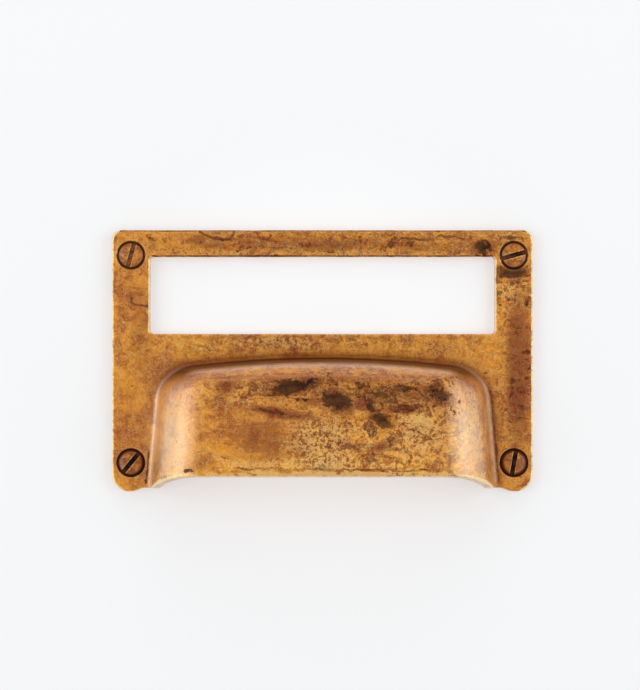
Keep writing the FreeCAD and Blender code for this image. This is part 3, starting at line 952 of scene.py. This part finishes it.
@dataclass
class Casting:
    """The one-piece casting: the frame plate with its label window, and the finger cup."""

    solid: bpy.types.Object
    camera: CameraPlan
    spacing: float = 0.37
    weld_gap: float = 0.001
    hidden_facing: float = 0.2
    most_triangles: int = 192_000
    smoothing_rounds: int = 6
    unevenness: float = 0.05
    long_wave: float = 9.0
    short_wave: float = 3.1
    short_share: float = 0.35
    nick_depth: float = 0.09
    nick_length: float = 2.2
    across_waver: float = 0.9
    across_waver_length: float = 2.6
    up_waver: float = 0.6
    up_waver_length: float = 2.0
    sharp_bend: float = 1.1
    hollow_bend: float = 0.17
    back_margin: float = 0.4
    cup_root: float = -4.0
    shaded_reach: float = 17.5
    shaded_fade: float = 4.5
    # Heights below which the painted shade, partly dirt, beside the cup's foot lies, on the left and on
    # the right, and how far it fades in, in millimetres.
    foot_dirt_and_shade_left: float = -19.0
    foot_dirt_and_shade_right: float = -4.0
    foot_dirt_and_shade_fade: float = 4.0
    # How strong the painted shadow and glint round the screw seats are, in the upper and the lower half.
    upper_seat_strength: float = 0.88
    lower_seat_strength: float = 0.97
    top_rim_above: float = 15.0

    def build(self) -> bpy.types.Object:
        """Make the casting's mesh with its stains, wear, painted shade and painted highlights.

        Returns:
            The finished object.
        """
        mesh = self._thinned(self._even_mesh())
        skin = Skin(mesh)
        skin.smooth(self.smoothing_rounds)
        bending = skin.bending()
        edge = ramp(bending, 0.0, self.sharp_bend)
        hollow = ramp(-bending, 0.0, self.hollow_bend)
        self._roughen(skin, edge)
        facing = skin.normals()
        self._stains_and_painted_light(skin, facing)
        self._soil_and_painted_light(skin, facing, edge, hollow)
        self._wear_and_highlights(skin, facing, edge, hollow)
        skin.write()
        mesh.polygons.foreach_set("use_smooth", np.ones(len(mesh.polygons), dtype=bool))
        return link("casting", mesh)

    def _even_mesh(self) -> bpy.types.Mesh:
        """Cover the solid with small even faces.

        Returns:
            The new mesh, on the solid's surface.
        """
        worked = link("casting_work", self.solid.data.copy())
        weld = worked.modifiers.new("weld", "WELD")
        weld.merge_threshold = self.weld_gap * MM
        cover = worked.modifiers.new("cover", "REMESH")
        cover.mode = "VOXEL"
        cover.voxel_size = self.spacing * MM
        wrap = worked.modifiers.new("wrap", "SHRINKWRAP")
        wrap.target = self.solid
        return settle(worked)

    def _thinned(self, mesh: bpy.types.Mesh) -> bpy.types.Mesh:
        """Thin the mesh out where it faces the drawer.

        Args:
            mesh: The even mesh.

        Returns:
            A mesh with fewer triangles at its back.
        """
        mesh.calc_loop_triangles()
        share = self.most_triangles / len(mesh.loop_triangles)
        facing = Skin(mesh).normals()[:, 1]
        worked = link("casting_thin", mesh)
        hidden = worked.vertex_groups.new(name="hidden")
        hidden.add(np.flatnonzero(facing > self.hidden_facing).tolist(), 1.0, "REPLACE")
        thin = worked.modifiers.new("thin", "DECIMATE")
        thin.ratio = min(share, 1.0)
        thin.vertex_group = hidden.name
        return settle(worked)

    def _roughen(self, skin: Skin, edge: np.ndarray) -> None:
        """Give the surface the waviness of a sand casting and nicks along its edges.

        Args:
            skin: The casting's points.
            edge: How sharp the outer edge is at each point.
        """
        lift = waves(skin.points, self.long_wave) + self.short_share * waves(skin.points, self.short_wave)
        lift *= self.unevenness
        nick = np.clip(waves(skin.points + 40.0, self.nick_length) - 0.15, 0.0, 1.0)
        lift -= self.nick_depth * edge * nick
        lift[skin.points[:, 1] > -self.back_margin] = 0.0
        skin.points += lift[:, None] * skin.normals()

    def _stains_and_painted_light(self, skin: Skin, facing: np.ndarray) -> None:
        """Keep the stains, some of them painted shade and highlights, the cracks, and the strength of the
        painted shadow and glint round the screw seats on the mesh.

        Args:
            skin: The casting's points.
            facing: The outward direction at each point.
        """
        seen = self.camera.seen(skin.points)
        seen[:, 0] += self.across_waver * waves(skin.points + 11.0, self.across_waver_length)
        seen[:, 1] += self.up_waver * waves(skin.points + 23.0, self.up_waver_length)
        front = ramp(-facing[:, 1], 0.0, 0.15)
        for kind in StainAndPaintedLight:
            skin.keep(kind.value, front * np.max([mark.field_at(seen) for mark in STAINS_AND_PAINTED_LIGHT[kind]], axis=0))
        skin.keep(Relief.CRACK.value, front * np.max([crack.field_at(seen) for crack in CRACKS], axis=0))
        upper = skin.points[:, 2] > 0.0
        skin.keep(Relief.SEAT.value, front * np.where(upper, self.upper_seat_strength, self.lower_seat_strength))

    def _soil_and_painted_light(self, skin: Skin, facing: np.ndarray, edge: np.ndarray, hollow: np.ndarray) -> None:
        """Keep on the mesh the painted shade, partly dirt, around the cup, on its top and along the
        frame's top edges.

        Args:
            skin: The casting's points.
            facing: The outward direction at each point.
            edge: How sharp the outer edge is at each point.
            hollow: How deep in an inner corner each point is.
        """
        across, along, up = skin.points.T
        flat = ramp(-facing[:, 1], 0.93, 0.98)
        starts = np.where(across > 0.0, self.foot_dirt_and_shade_right, self.foot_dirt_and_shade_left)
        beside_cup = np.clip((starts - up) / self.foot_dirt_and_shade_fade, 0.0, 1.0)
        # Painted shade, partly dirt: a dark line on the flat plate along the foot of the cup's sides.
        foot = 0.64 * flat * np.clip(2.5 * skin.spread(hollow, 3), 0.0, 1.0) * beside_cup
        rim = np.clip(2.5 * skin.spread(edge, 1), 0.0, 1.0)
        # Painted shade: a dark line on the top part's edges that face up and down.
        shaded_top_rim = 0.9 * rim * ramp(np.abs(facing[:, 2]), 0.06, 0.26) * (up > self.top_rim_above)
        skin.keep(Relief.RECESS.value, np.maximum(foot, shaded_top_rim))

        # Painted shade, partly dirt: the plate darkens just above the cup's root, as do the cup's top
        # where it faces up and the corner along the cup's right foot.
        above_cup = ramp(facing[:, 2], 0.1, 0.4) * hollow
        shade = 1.3 * skin.spread(above_cup, 5) + 1.5 * flat * skin.spread(above_cup, 36)
        cup_top = 0.16 * ramp(facing[:, 2], 0.25, 0.65) * (along < self.cup_root)
        in_corner = (along > self.cup_root + 0.4) & (along < -0.5) & (across > 0.0)
        flank = 0.75 * np.clip(3.4 * skin.spread(hollow, 16), 0.0, 1.0) * beside_cup * in_corner
        skin.keep(Relief.SHADE.value, np.clip(np.max([shade, cup_top, flank], axis=0), 0.0, 1.0))

        # Painted shade, partly dust: the cup's upward-facing top darkens near the plate, fading out by the
        # shaded reach.
        root = ramp(facing[:, 2], 0.55, 0.85) * (along < self.cup_root + 0.9)
        root *= ramp(along, -self.shaded_reach, self.shaded_fade - self.shaded_reach)
        skin.keep(Relief.ROOT.value, skin.spread(root, 1))

    @staticmethod
    def _wear_and_highlights(skin: Skin, facing: np.ndarray, edge: np.ndarray, hollow: np.ndarray) -> None:
        """Keep on the mesh the edges worn pale with a painted highlight, and a painted highlight in the
        cup's side fillets.

        Args:
            skin: The casting's points.
            facing: The outward direction at each point.
            edge: How sharp the outer edge is at each point.
            hollow: How deep in an inner corner each point is.
        """
        aside = np.abs(facing[:, 0])
        # Painted highlight in the inner corners that face sideways, along the cup's sides.
        skin.keep(Relief.GLEAM.value, np.clip(1.6 * aside * hollow, 0.0, 1.0))
        # Wear and painted highlight: edges turn pale, more where they face sideways, and only where they
        # face forward.
        edge_brightening = skin.spread(edge * (0.3 + ramp(aside, 0.05, 0.35)), 2)
        pale = 2.1 * edge_brightening * ramp(facing[:, 1], 0.3, -0.3)
        skin.keep(Relief.EDGE.value, np.clip(pale, 0.0, 1.0))

    def dress(self, made: bpy.types.Object, material: bpy.types.Material) -> None:
        """Give the casting its finish and its place in the frame.

        Args:
            made: The casting.
            material: Its material.
        """
        made.data.materials.clear()
        made.data.materials.append(material)
        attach(made, "root")
        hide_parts("pull_casting")


@dataclass(frozen=True)
class ScrewPlace:
    """One screw: its place on the plate in millimetres, its slot's turn and how much grime and painted
    shade its head gets.
    """

    across: float
    up: float
    slot_turn: float
    grime_and_shade: float


@dataclass
class Screws:
    """Four slotted raised-head wood screws."""

    head_radius: float = 3.2
    rim_front: float = -2.85
    crown: float = 0.7
    rim: float = 0.15
    cone_end: float = -0.744
    neck_radius: float = 1.5
    neck_end: float = 0.9
    neck_taper: float = 0.5
    root_radius: float = 1.2
    crest_radius: float = 1.72
    thread_end: float = 12.1
    tip: float = 16.1
    tip_radius: float = 0.12
    tip_rounding: float = 0.15
    pitch: float = 1.4
    ridge_radius: float = 0.42
    ridge_slimness: float = 0.62
    ridge_inset: float = 0.4
    point_radius: float = 0.25
    point_gap: float = 0.3
    steps_in_turn: int = 28
    slot_width: float = 1.15
    slot_depth: float = 1.1
    edge_rounding: float = 0.09
    rounded_angle: float = 48.0
    sharp_angle: float = 40.0
    dome_steps: int = 12
    sides: int = 72
    places: tuple[ScrewPlace, ...] = field(
        default=(
            ScrewPlace(-SCREW_ACROSS, SCREW_UP, 75.0, 0.30),
            ScrewPlace(SCREW_ACROSS, SCREW_UP, 15.5, 0.42),
            ScrewPlace(-SCREW_ACROSS, -SCREW_UP, 50.5, 0.62),
            ScrewPlace(SCREW_ACROSS, -SCREW_UP, 80.0, 0.70),
        )
    )

    def build(self, material: bpy.types.Material) -> bpy.types.Object:
        """Make the four screws.

        Args:
            material: Their material.

        Returns:
            One object with all four.
        """
        blank = link("screw_blank", self._blank())
        spots = bpy.data.meshes.new("screw_spots")
        spots.from_pydata([(p.across * MM, 0.0, p.up * MM) for p in self.places], [], [])
        for name, values in (
            ("turn", [-math.radians(p.slot_turn) for p in self.places]),
            ("grime_and_shade_amount", [p.grime_and_shade for p in self.places]),
        ):
            spots.attributes.new(name, "FLOAT", "POINT").data.foreach_set("value", values)
        worked = link("screw_work", spots)
        tree = self._tree()
        modifier = worked.modifiers.new("screws", "NODES")
        modifier.node_group = tree
        inputs = {
            "Blank": blank,
            "Material": material,
            "Pitch": self.pitch * MM,
            "Crest": self.crest_radius * MM,
            "Start": self.neck_end * MM,
            "Length": (self.thread_end - self.neck_end) * MM,
            "Point": (self.tip - self.point_gap - self.thread_end) * MM,
        }
        for socket in tree.interface.items_tree:
            if socket.in_out == "INPUT" and socket.name in inputs:
                modifier[socket.identifier] = inputs[socket.name]
        mesh = settle(worked)
        bpy.data.objects.remove(blank)
        self._soil_and_painted_light(mesh)
        return link("screws", mesh)

    def _soil_and_painted_light(self, mesh: bpy.types.Mesh) -> None:
        """Keep on the mesh the grime and painted shade in the slots and at the heads' rims, and the
        painted highlight on the slots' lips.

        Args:
            mesh: The four screws.
        """
        skin = Skin(mesh)
        local = np.empty(skin.count * 3, dtype=np.float32)
        mesh.attributes["screw_local"].data.foreach_get("vector", local)
        local = local.reshape(-1, 3) / MM
        grime_and_shade_amount = np.empty(skin.count, dtype=np.float32)
        mesh.attributes["grime_and_shade_amount"].data.foreach_get("value", grime_and_shade_amount)
        out = np.hypot(local[:, 0], local[:, 2]) / self.head_radius
        crown_front = self.rim_front - self.crown * (1.0 - out**2)
        in_slot = ramp(local[:, 1] - crown_front, 0.05, 0.25)
        on_head = local[:, 1] < self.rim_front - self.crown + self.slot_depth + 0.05
        # Grime and painted shade: each head darkens at its rim and in its slot.
        rim = ramp(out + 0.36 * grime_and_shade_amount, 0.97, 1.09)
        grime_and_shade = np.maximum(0.85 * rim, (0.3 + 0.65 * grime_and_shade_amount) * in_slot)
        skin.keep("grime_and_shade", np.where(on_head, grime_and_shade, 0.25))
        # Painted highlight: pale lines along the slot's lips.
        beside_slot = np.abs(local[:, 2]) - self.slot_width / 2
        lip = ramp(np.abs(beside_slot - 0.05), 0.1, 0.0)
        skin.keep("slot_lip_highlight", lip * on_head * (in_slot < 0.5) * (out < 0.85))

    def _profile(self) -> list[tuple[float, float]]:
        """Give half the screw's outline, without its thread.

        Returns:
            Radius and distance along the axis, from the crown to the point.
        """
        bow = (self.head_radius**2 + self.crown**2) / (2 * self.crown)
        top = self.rim_front - self.crown
        radii = [self.head_radius * step / self.dome_steps for step in range(self.dome_steps + 1)]
        dome = [(radius, top + bow - math.sqrt(bow**2 - radius**2)) for radius in radii]
        return dome + [
            (self.head_radius, self.rim_front + self.rim),
            (self.neck_radius, self.cone_end),
            (self.neck_radius, self.neck_end),
            (self.root_radius, self.neck_end + self.neck_taper),
            (self.root_radius, self.thread_end),
            (self.tip_radius, self.tip - self.tip_rounding),
            (0.0, self.tip),
        ]

    def _blank(self) -> bpy.types.Mesh:
        """Turn the screw and cut its slot.

        Returns:
            A mesh along Y, with the slot across X.
        """
        profile = self._profile()
        points = [(0.0, profile[0][1] * MM, 0.0), (0.0, profile[-1][1] * MM, 0.0)]
        faces: list[tuple[int, ...]] = []
        rings = profile[1:-1]
        for radius, along in rings:
            for side in range(self.sides):
                angle = 2 * math.pi * side / self.sides
                points.append((radius * math.cos(angle) * MM, along * MM, radius * math.sin(angle) * MM))
        for side in range(self.sides):
            after = (side + 1) % self.sides
            faces.append((0, 2 + side, 2 + after))
            last = 2 + (len(rings) - 1) * self.sides
            faces.append((1, last + after, last + side))
            for ring in range(len(rings) - 1):
                low = 2 + ring * self.sides
                high = low + self.sides
                faces.append((low + side, high + side, high + after, low + after))
        turned = bpy.data.meshes.new("screw_turned")
        turned.from_pydata(points, [], faces)
        worked = link("screw_turned", turned)
        cutter = link("slot_cutter", self._slot_block())
        cut = worked.modifiers.new("slot", "BOOLEAN")
        cut.object = cutter
        cut.operation = "DIFFERENCE"
        soften = worked.modifiers.new("soften", "BEVEL")
        soften.width = self.edge_rounding * MM
        soften.segments = 2
        soften.limit_method = "ANGLE"
        soften.angle_limit = math.radians(self.rounded_angle)
        mesh = settle(worked)
        bpy.data.objects.remove(cutter)
        mesh.polygons.foreach_set("use_smooth", np.ones(len(mesh.polygons), dtype=bool))
        mesh.set_sharp_from_angle(angle=math.radians(self.sharp_angle))
        return mesh

    def _slot_block(self) -> bpy.types.Mesh:
        """Make the block that cuts the slot.

        Returns:
            The block's mesh.
        """
        front = self.rim_front - self.crown
        low, high = front - 1.0, front + self.slot_depth
        half = self.slot_width / 2
        reach = self.head_radius + 1.0
        corners = [
            (x * MM, y * MM, z * MM) for x in (-reach, reach) for y in (low, high) for z in (-half, half)
        ]
        faces = [(0, 1, 3, 2), (4, 6, 7, 5), (0, 4, 5, 1), (2, 3, 7, 6), (0, 2, 6, 4), (1, 5, 7, 3)]
        block = bpy.data.meshes.new("slot_block")
        block.from_pydata(corners, [], faces)
        return block

    def _tree(self) -> bpy.types.NodeTree:
        """Make the nodes that wind the thread and set a screw at every place.

        Returns:
            The node tree.
        """
        inputs = {"Places": SocketKind.SHAPE, "Blank": SocketKind.OBJECT, "Material": SocketKind.MATERIAL}
        inputs |= {name: SocketKind.VALUE for name in ("Pitch", "Crest", "Start", "Length", "Point")}
        outputs = {"Screws": SocketKind.SHAPE}
        graph, start, end = new_group("screw_set", inputs, outputs, "GeometryNodeTree")
        given = start.outputs
        thread = self._thread(graph, given)
        laid = self._moved(graph, thread, (-math.pi / 2, 0.0, 0.0), (0.0, given["Start"], 0.0))
        blank = graph.add("GeometryNodeObjectInfo", {"Object": given["Blank"]})
        screw = graph.add("GeometryNodeJoinGeometry", {0: laid})
        graph.feed(screw.inputs[0], blank.outputs["Geometry"])
        own_place = graph.add("GeometryNodeInputPosition").outputs[0]
        local = graph.add(
            "GeometryNodeStoreNamedAttribute",
            {"Geometry": screw.outputs[0], "Name": "screw_local", "Value": own_place},
            data_type="FLOAT_VECTOR",
            domain="POINT",
        )
        turn = graph.add("GeometryNodeInputNamedAttribute", {"Name": "turn"}, data_type="FLOAT")
        about = graph.add("ShaderNodeCombineXYZ", {"Y": turn.outputs["Attribute"]})
        angle = graph.add("FunctionNodeEulerToRotation", {0: about.outputs[0]})
        placing = {
            "Points": given["Places"],
            "Instance": local.outputs["Geometry"],
            "Rotation": angle.outputs[0],
        }
        placed = graph.add("GeometryNodeInstanceOnPoints", placing)
        real = graph.add("GeometryNodeRealizeInstances", {"Geometry": placed.outputs["Instances"]})
        finishing = {"Geometry": real.outputs["Geometry"], "Material": given["Material"]}
        finish = graph.add("GeometryNodeSetMaterial", finishing)
        graph.feed(end.inputs["Screws"], finish.outputs["Geometry"])
        return graph.tree

    def _thread(self, graph: Graph, given: bpy.types.bpy_prop_collection) -> bpy.types.NodeSocket:
        """Make the thread along Z: a straight stretch and then the point.

        Args:
            graph: The tree's graph.
            given: The tree's inputs.

        Returns:
            The thread's mesh.
        """
        straight = self._winding(graph, given["Length"], given["Pitch"], given["Crest"], given["Crest"])
        tip = self.point_radius * MM
        pointed = self._winding(graph, given["Point"], given["Pitch"], given["Crest"], tip)
        turns = graph.math("DIVIDE", given["Length"], given["Pitch"])
        phase = graph.math("MULTIPLY", turns, 2 * math.pi)
        pointed = self._moved(graph, pointed, (0.0, 0.0, phase), (0.0, 0.0, given["Length"]))
        winding = graph.add("GeometryNodeJoinGeometry", {0: straight})
        graph.feed(winding.inputs[0], pointed)
        steady = graph.add("GeometryNodeSetCurveNormal", {"Curve": winding.outputs[0]}, mode="Z_UP")
        rhombus = {"Resolution": 4, "Radius": self.ridge_radius * MM}
        ridge = graph.add("GeometryNodeCurvePrimitiveCircle", rhombus).outputs["Curve"]
        flattened = {"Geometry": ridge, "Scale": (1.0, self.ridge_slimness, 1.0)}
        slim = graph.add("GeometryNodeTransform", flattened)
        sweep = {
            "Curve": steady.outputs["Curve"],
            "Profile Curve": slim.outputs["Geometry"],
            "Fill Caps": True,
        }
        return graph.add("GeometryNodeCurveToMesh", sweep).outputs["Mesh"]

    def _winding(
        self, graph: Graph, length: Source, pitch: Source, first: Source, last: Source
    ) -> bpy.types.NodeSocket:
        """Wind one stretch of the thread.

        Args:
            graph: The tree's graph.
            length: Length along the screw.
            pitch: Length of one turn.
            first: Radius at its start.
            last: Radius at its end.

        Returns:
            The winding's curve.
        """
        inset = self.ridge_inset * MM
        spiral = {
            "Resolution": self.steps_in_turn,
            "Reverse": True,
            "Rotations": graph.math("DIVIDE", length, pitch),
            "Start Radius": graph.math("SUBTRACT", first, inset),
            "End Radius": graph.math("SUBTRACT", last, inset, clamp=True),
            "Height": length,
        }
        return graph.add("GeometryNodeCurveSpiral", spiral).outputs["Curve"]

    @staticmethod
    def _moved(
        graph: Graph, shape: bpy.types.NodeSocket, turn: Sequence[Source], shift: Sequence[Source]
    ) -> bpy.types.NodeSocket:
        """Turn and move a shape.

        Args:
            graph: The tree's graph.
            shape: The shape.
            turn: Angles about the three axes.
            shift: Distances along the three axes.

        Returns:
            The moved shape.
        """
        node = graph.add("GeometryNodeTransform", {"Geometry": shape})
        for name, parts in (("Rotation", turn), ("Translation", shift)):
            joined = graph.add("ShaderNodeCombineXYZ", dict(enumerate(parts)))
            graph.feed(node.inputs[name], joined.outputs[0])
        return node.outputs["Geometry"]

    def dress(self, made: bpy.types.Object) -> None:
        """Give the screws their place in the frame.

        Args:
            made: The screws.
        """
        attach(made, "root")
        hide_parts("mounting_screws")


@dataclass(frozen=True)
class Lamp:
    """A soft lamp aimed at the pull, in metres and watts; the cards stand for it in the metal."""

    name: str
    place: tuple[float, float, float]
    width: float
    height: float
    power: float

    def build(self) -> bpy.types.Object:
        """Make the lamp.

        Returns:
            The lamp's object.
        """
        light = bpy.data.lights.new(self.name, "AREA")
        light.shape = "RECTANGLE"
        light.size = self.width
        light.size_y = self.height
        light.energy = self.power
        made = bpy.data.objects.new(self.name, light)
        made.visible_glossy = False
        made.location = self.place
        made.rotation_euler = (-Vector(self.place)).to_track_quat("-Z", "Y").to_euler()
        bpy.context.scene.collection.objects.link(made)
        return made


@dataclass(frozen=True)
class Card:
    """A plain card outside the picture that the metal mirrors, in metres."""

    name: str
    corners: Sequence[tuple[float, float, float]]
    glow: float

    def build(self) -> bpy.types.Object:
        """Make the card.

        Returns:
            The card, seen in reflections only.
        """
        mesh = bpy.data.meshes.new(self.name)
        mesh.from_pydata(self.corners, [], [(0, 1, 2, 3)])
        material, graph = new_material(self.name)
        light = graph.add("ShaderNodeEmission", {"Strength": self.glow})
        graph.add("ShaderNodeOutputMaterial", {"Surface": light.outputs[0]})
        mesh.materials.append(material)
        card = link(self.name, mesh)
        card.visible_camera = False
        card.visible_diffuse = False
        card.visible_shadow = False
        card.visible_transmission = False
        return card


def upright(name: str, start: tuple[float, float], end: tuple[float, float], glow: float) -> Card:
    """Stand a card up on a line whose ends are given across and along the view, in metres."""
    low, high = -0.5, 0.55
    return Card(name, ((*start, low), (*end, low), (*end, high), (*start, high)), glow)


def level(name: str, height: float, reach: tuple[float, float], glow: float) -> Card:
    """Lay a card level over or under the pull.

    Args:
        name: The card's name.
        height: How high it lies, in metres.
        reach: Where it starts and ends along the view.
        glow: How bright the card is.

    Returns:
        The card.
    """
    half = 0.9
    near, far = reach
    square = ((-half, near), (half, near), (half, far), (-half, far))
    return Card(name, [(*corner, height) for corner in square], glow)


@dataclass
class Studio:
    """White wall, soft lamps, cards, pale surroundings and the camera."""

    camera: CameraPlan
    wall_half: float = 0.7
    wall_behind: float = 0.0003
    wall_paint: tuple[float, float, float, float] = (0.495, 0.508, 0.518, 1.0)
    wall_glow: float = 0.44
    centre_glow: float = 0.055
    centre_reach: tuple[float, float] = (0.06, 0.02)
    surround: float = 0.6
    lamps: tuple[Lamp, ...] = (
        Lamp("left_lamp", (-0.5, -0.5, 0.05), 0.5, 0.6, 1.42),
        Lamp("right_lamp", (0.5, -0.5, 0.05), 0.5, 0.6, 1.42),
        Lamp("top_lamp", (0.0, -0.35, 0.6), 0.6, 0.5, 0.55),
    )
    cards: tuple[Card, ...] = (
        upright("front_card", (-0.7, -0.95), (0.7, -0.95), 0.11),
        upright("left_far_card", (-0.75, -0.75), (-0.8, -0.46), 0.9),
        upright("right_far_card", (0.75, -0.75), (0.8, -0.46), 0.9),
        upright("left_card", (-0.8, -0.46), (-0.8, 0.0), 2.1),
        upright("right_card", (0.8, -0.46), (0.8, 0.0), 2.0),
        level("top_far_card", 0.55, (-0.95, -0.42), 0.2),
        level("top_card", 0.55, (-0.42, -0.12), 0.8),
        level("top_near_card", 0.55, (-0.12, 0.0), 0.1),
        level("low_card", -0.5, (-0.95, 0.0), 0.3),
    )

    def build(self) -> None:
        """Make the stage and set the camera."""
        self._wall()
        for aid in self.lamps + self.cards:
            aid.build()
        self._world()
        self._camera()
        bpy.context.scene.view_settings.view_transform = "Standard"

    def _wall(self) -> bpy.types.Object:
        """Make the white wall, seen from the front only.

        Returns:
            The wall.
        """
        half = self.wall_half
        square = ((-half, -half), (half, -half), (half, half), (-half, half))
        mesh = bpy.data.meshes.new("wall")
        mesh.from_pydata([(x, self.wall_behind, z) for x, z in square], [], [(0, 1, 2, 3)])
        material, graph = new_material("wall_white")
        paint = graph.add("ShaderNodeBsdfDiffuse", {"Color": self.wall_paint})
        where = graph.add("ShaderNodeTexCoord").outputs["Object"]
        far = graph.add("ShaderNodeVectorMath", {0: where}, operation="LENGTH")
        near_centre = graph.step(far.outputs["Value"], *self.centre_reach)
        centre = graph.math("MULTIPLY", near_centre, self.centre_glow)
        glow = graph.add("ShaderNodeEmission", {"Strength": graph.math("ADD", centre, self.wall_glow)})
        both = graph.add("ShaderNodeAddShader", {0: paint.outputs[0], 1: glow.outputs[0]})
        behind = graph.add("ShaderNodeNewGeometry").outputs["Backfacing"]
        clear = graph.add("ShaderNodeBsdfTransparent").outputs[0]
        pick = graph.add("ShaderNodeMixShader", {0: behind, 1: both.outputs[0], 2: clear})
        graph.add("ShaderNodeOutputMaterial", {"Surface": pick.outputs[0]})
        mesh.materials.append(material)
        wall = link("wall", mesh)
        wall.visible_diffuse = False
        wall.visible_shadow = False
        return wall

    def _world(self) -> None:
        """Light the surroundings: white where they are seen, dimmer as a lamp."""
        world = bpy.data.worlds.new("surroundings")
        world.use_nodes = True
        world.node_tree.nodes.clear()
        graph = Graph(world.node_tree)
        rays = graph.add("ShaderNodeLightPath").outputs
        seen = graph.highest(rays["Is Camera Ray"], rays["Is Transmission Ray"], rays["Is Glossy Ray"])
        light = {"Color": (1.0, 1.0, 1.0, 1.0), "Strength": graph.blend(seen, self.surround, 1.0)}
        sky = graph.add("ShaderNodeBackground", light)
        graph.add("ShaderNodeOutputWorld", {"Surface": sky.outputs[0]})
        bpy.context.scene.world = world

    def _camera(self) -> None:
        """Set the camera square on to the plate."""
        data = bpy.data.cameras.new("camera")
        data.sensor_width = self.camera.sensor
        data.lens = self.camera.sensor * self.camera.distance / self.camera.field_height
        data.clip_start = 0.01
        data.clip_end = 20.0
        made = bpy.data.objects.new("camera", data)
        made.location = self.camera.place
        made.rotation_euler = (math.pi / 2, 0.0, 0.0)
        bpy.context.scene.collection.objects.link(made)
        bpy.context.scene.camera = made


def main() -> None:
    """Build the pull and its studio."""
    logging.basicConfig(level=logging.INFO, format="%(message)s")
    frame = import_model()
    plan = CameraPlan()
    effects = BrassEffects()
    finish = BrassWithPaintedLight()
    casting = Casting(frame["nodes"]["pull_casting"], plan)
    made = casting.build()
    casting.dress(made, finish.casting(effects))
    log.info("casting: %d points, %d faces", len(made.data.vertices), len(made.data.polygons))
    screws = Screws()
    made = screws.build(finish.screws(effects))
    screws.dress(made)
    log.info("screws: %d points, %d faces", len(made.data.vertices), len(made.data.polygons))
    Studio(plan).build()


if __name__ == "__main__":
    main()
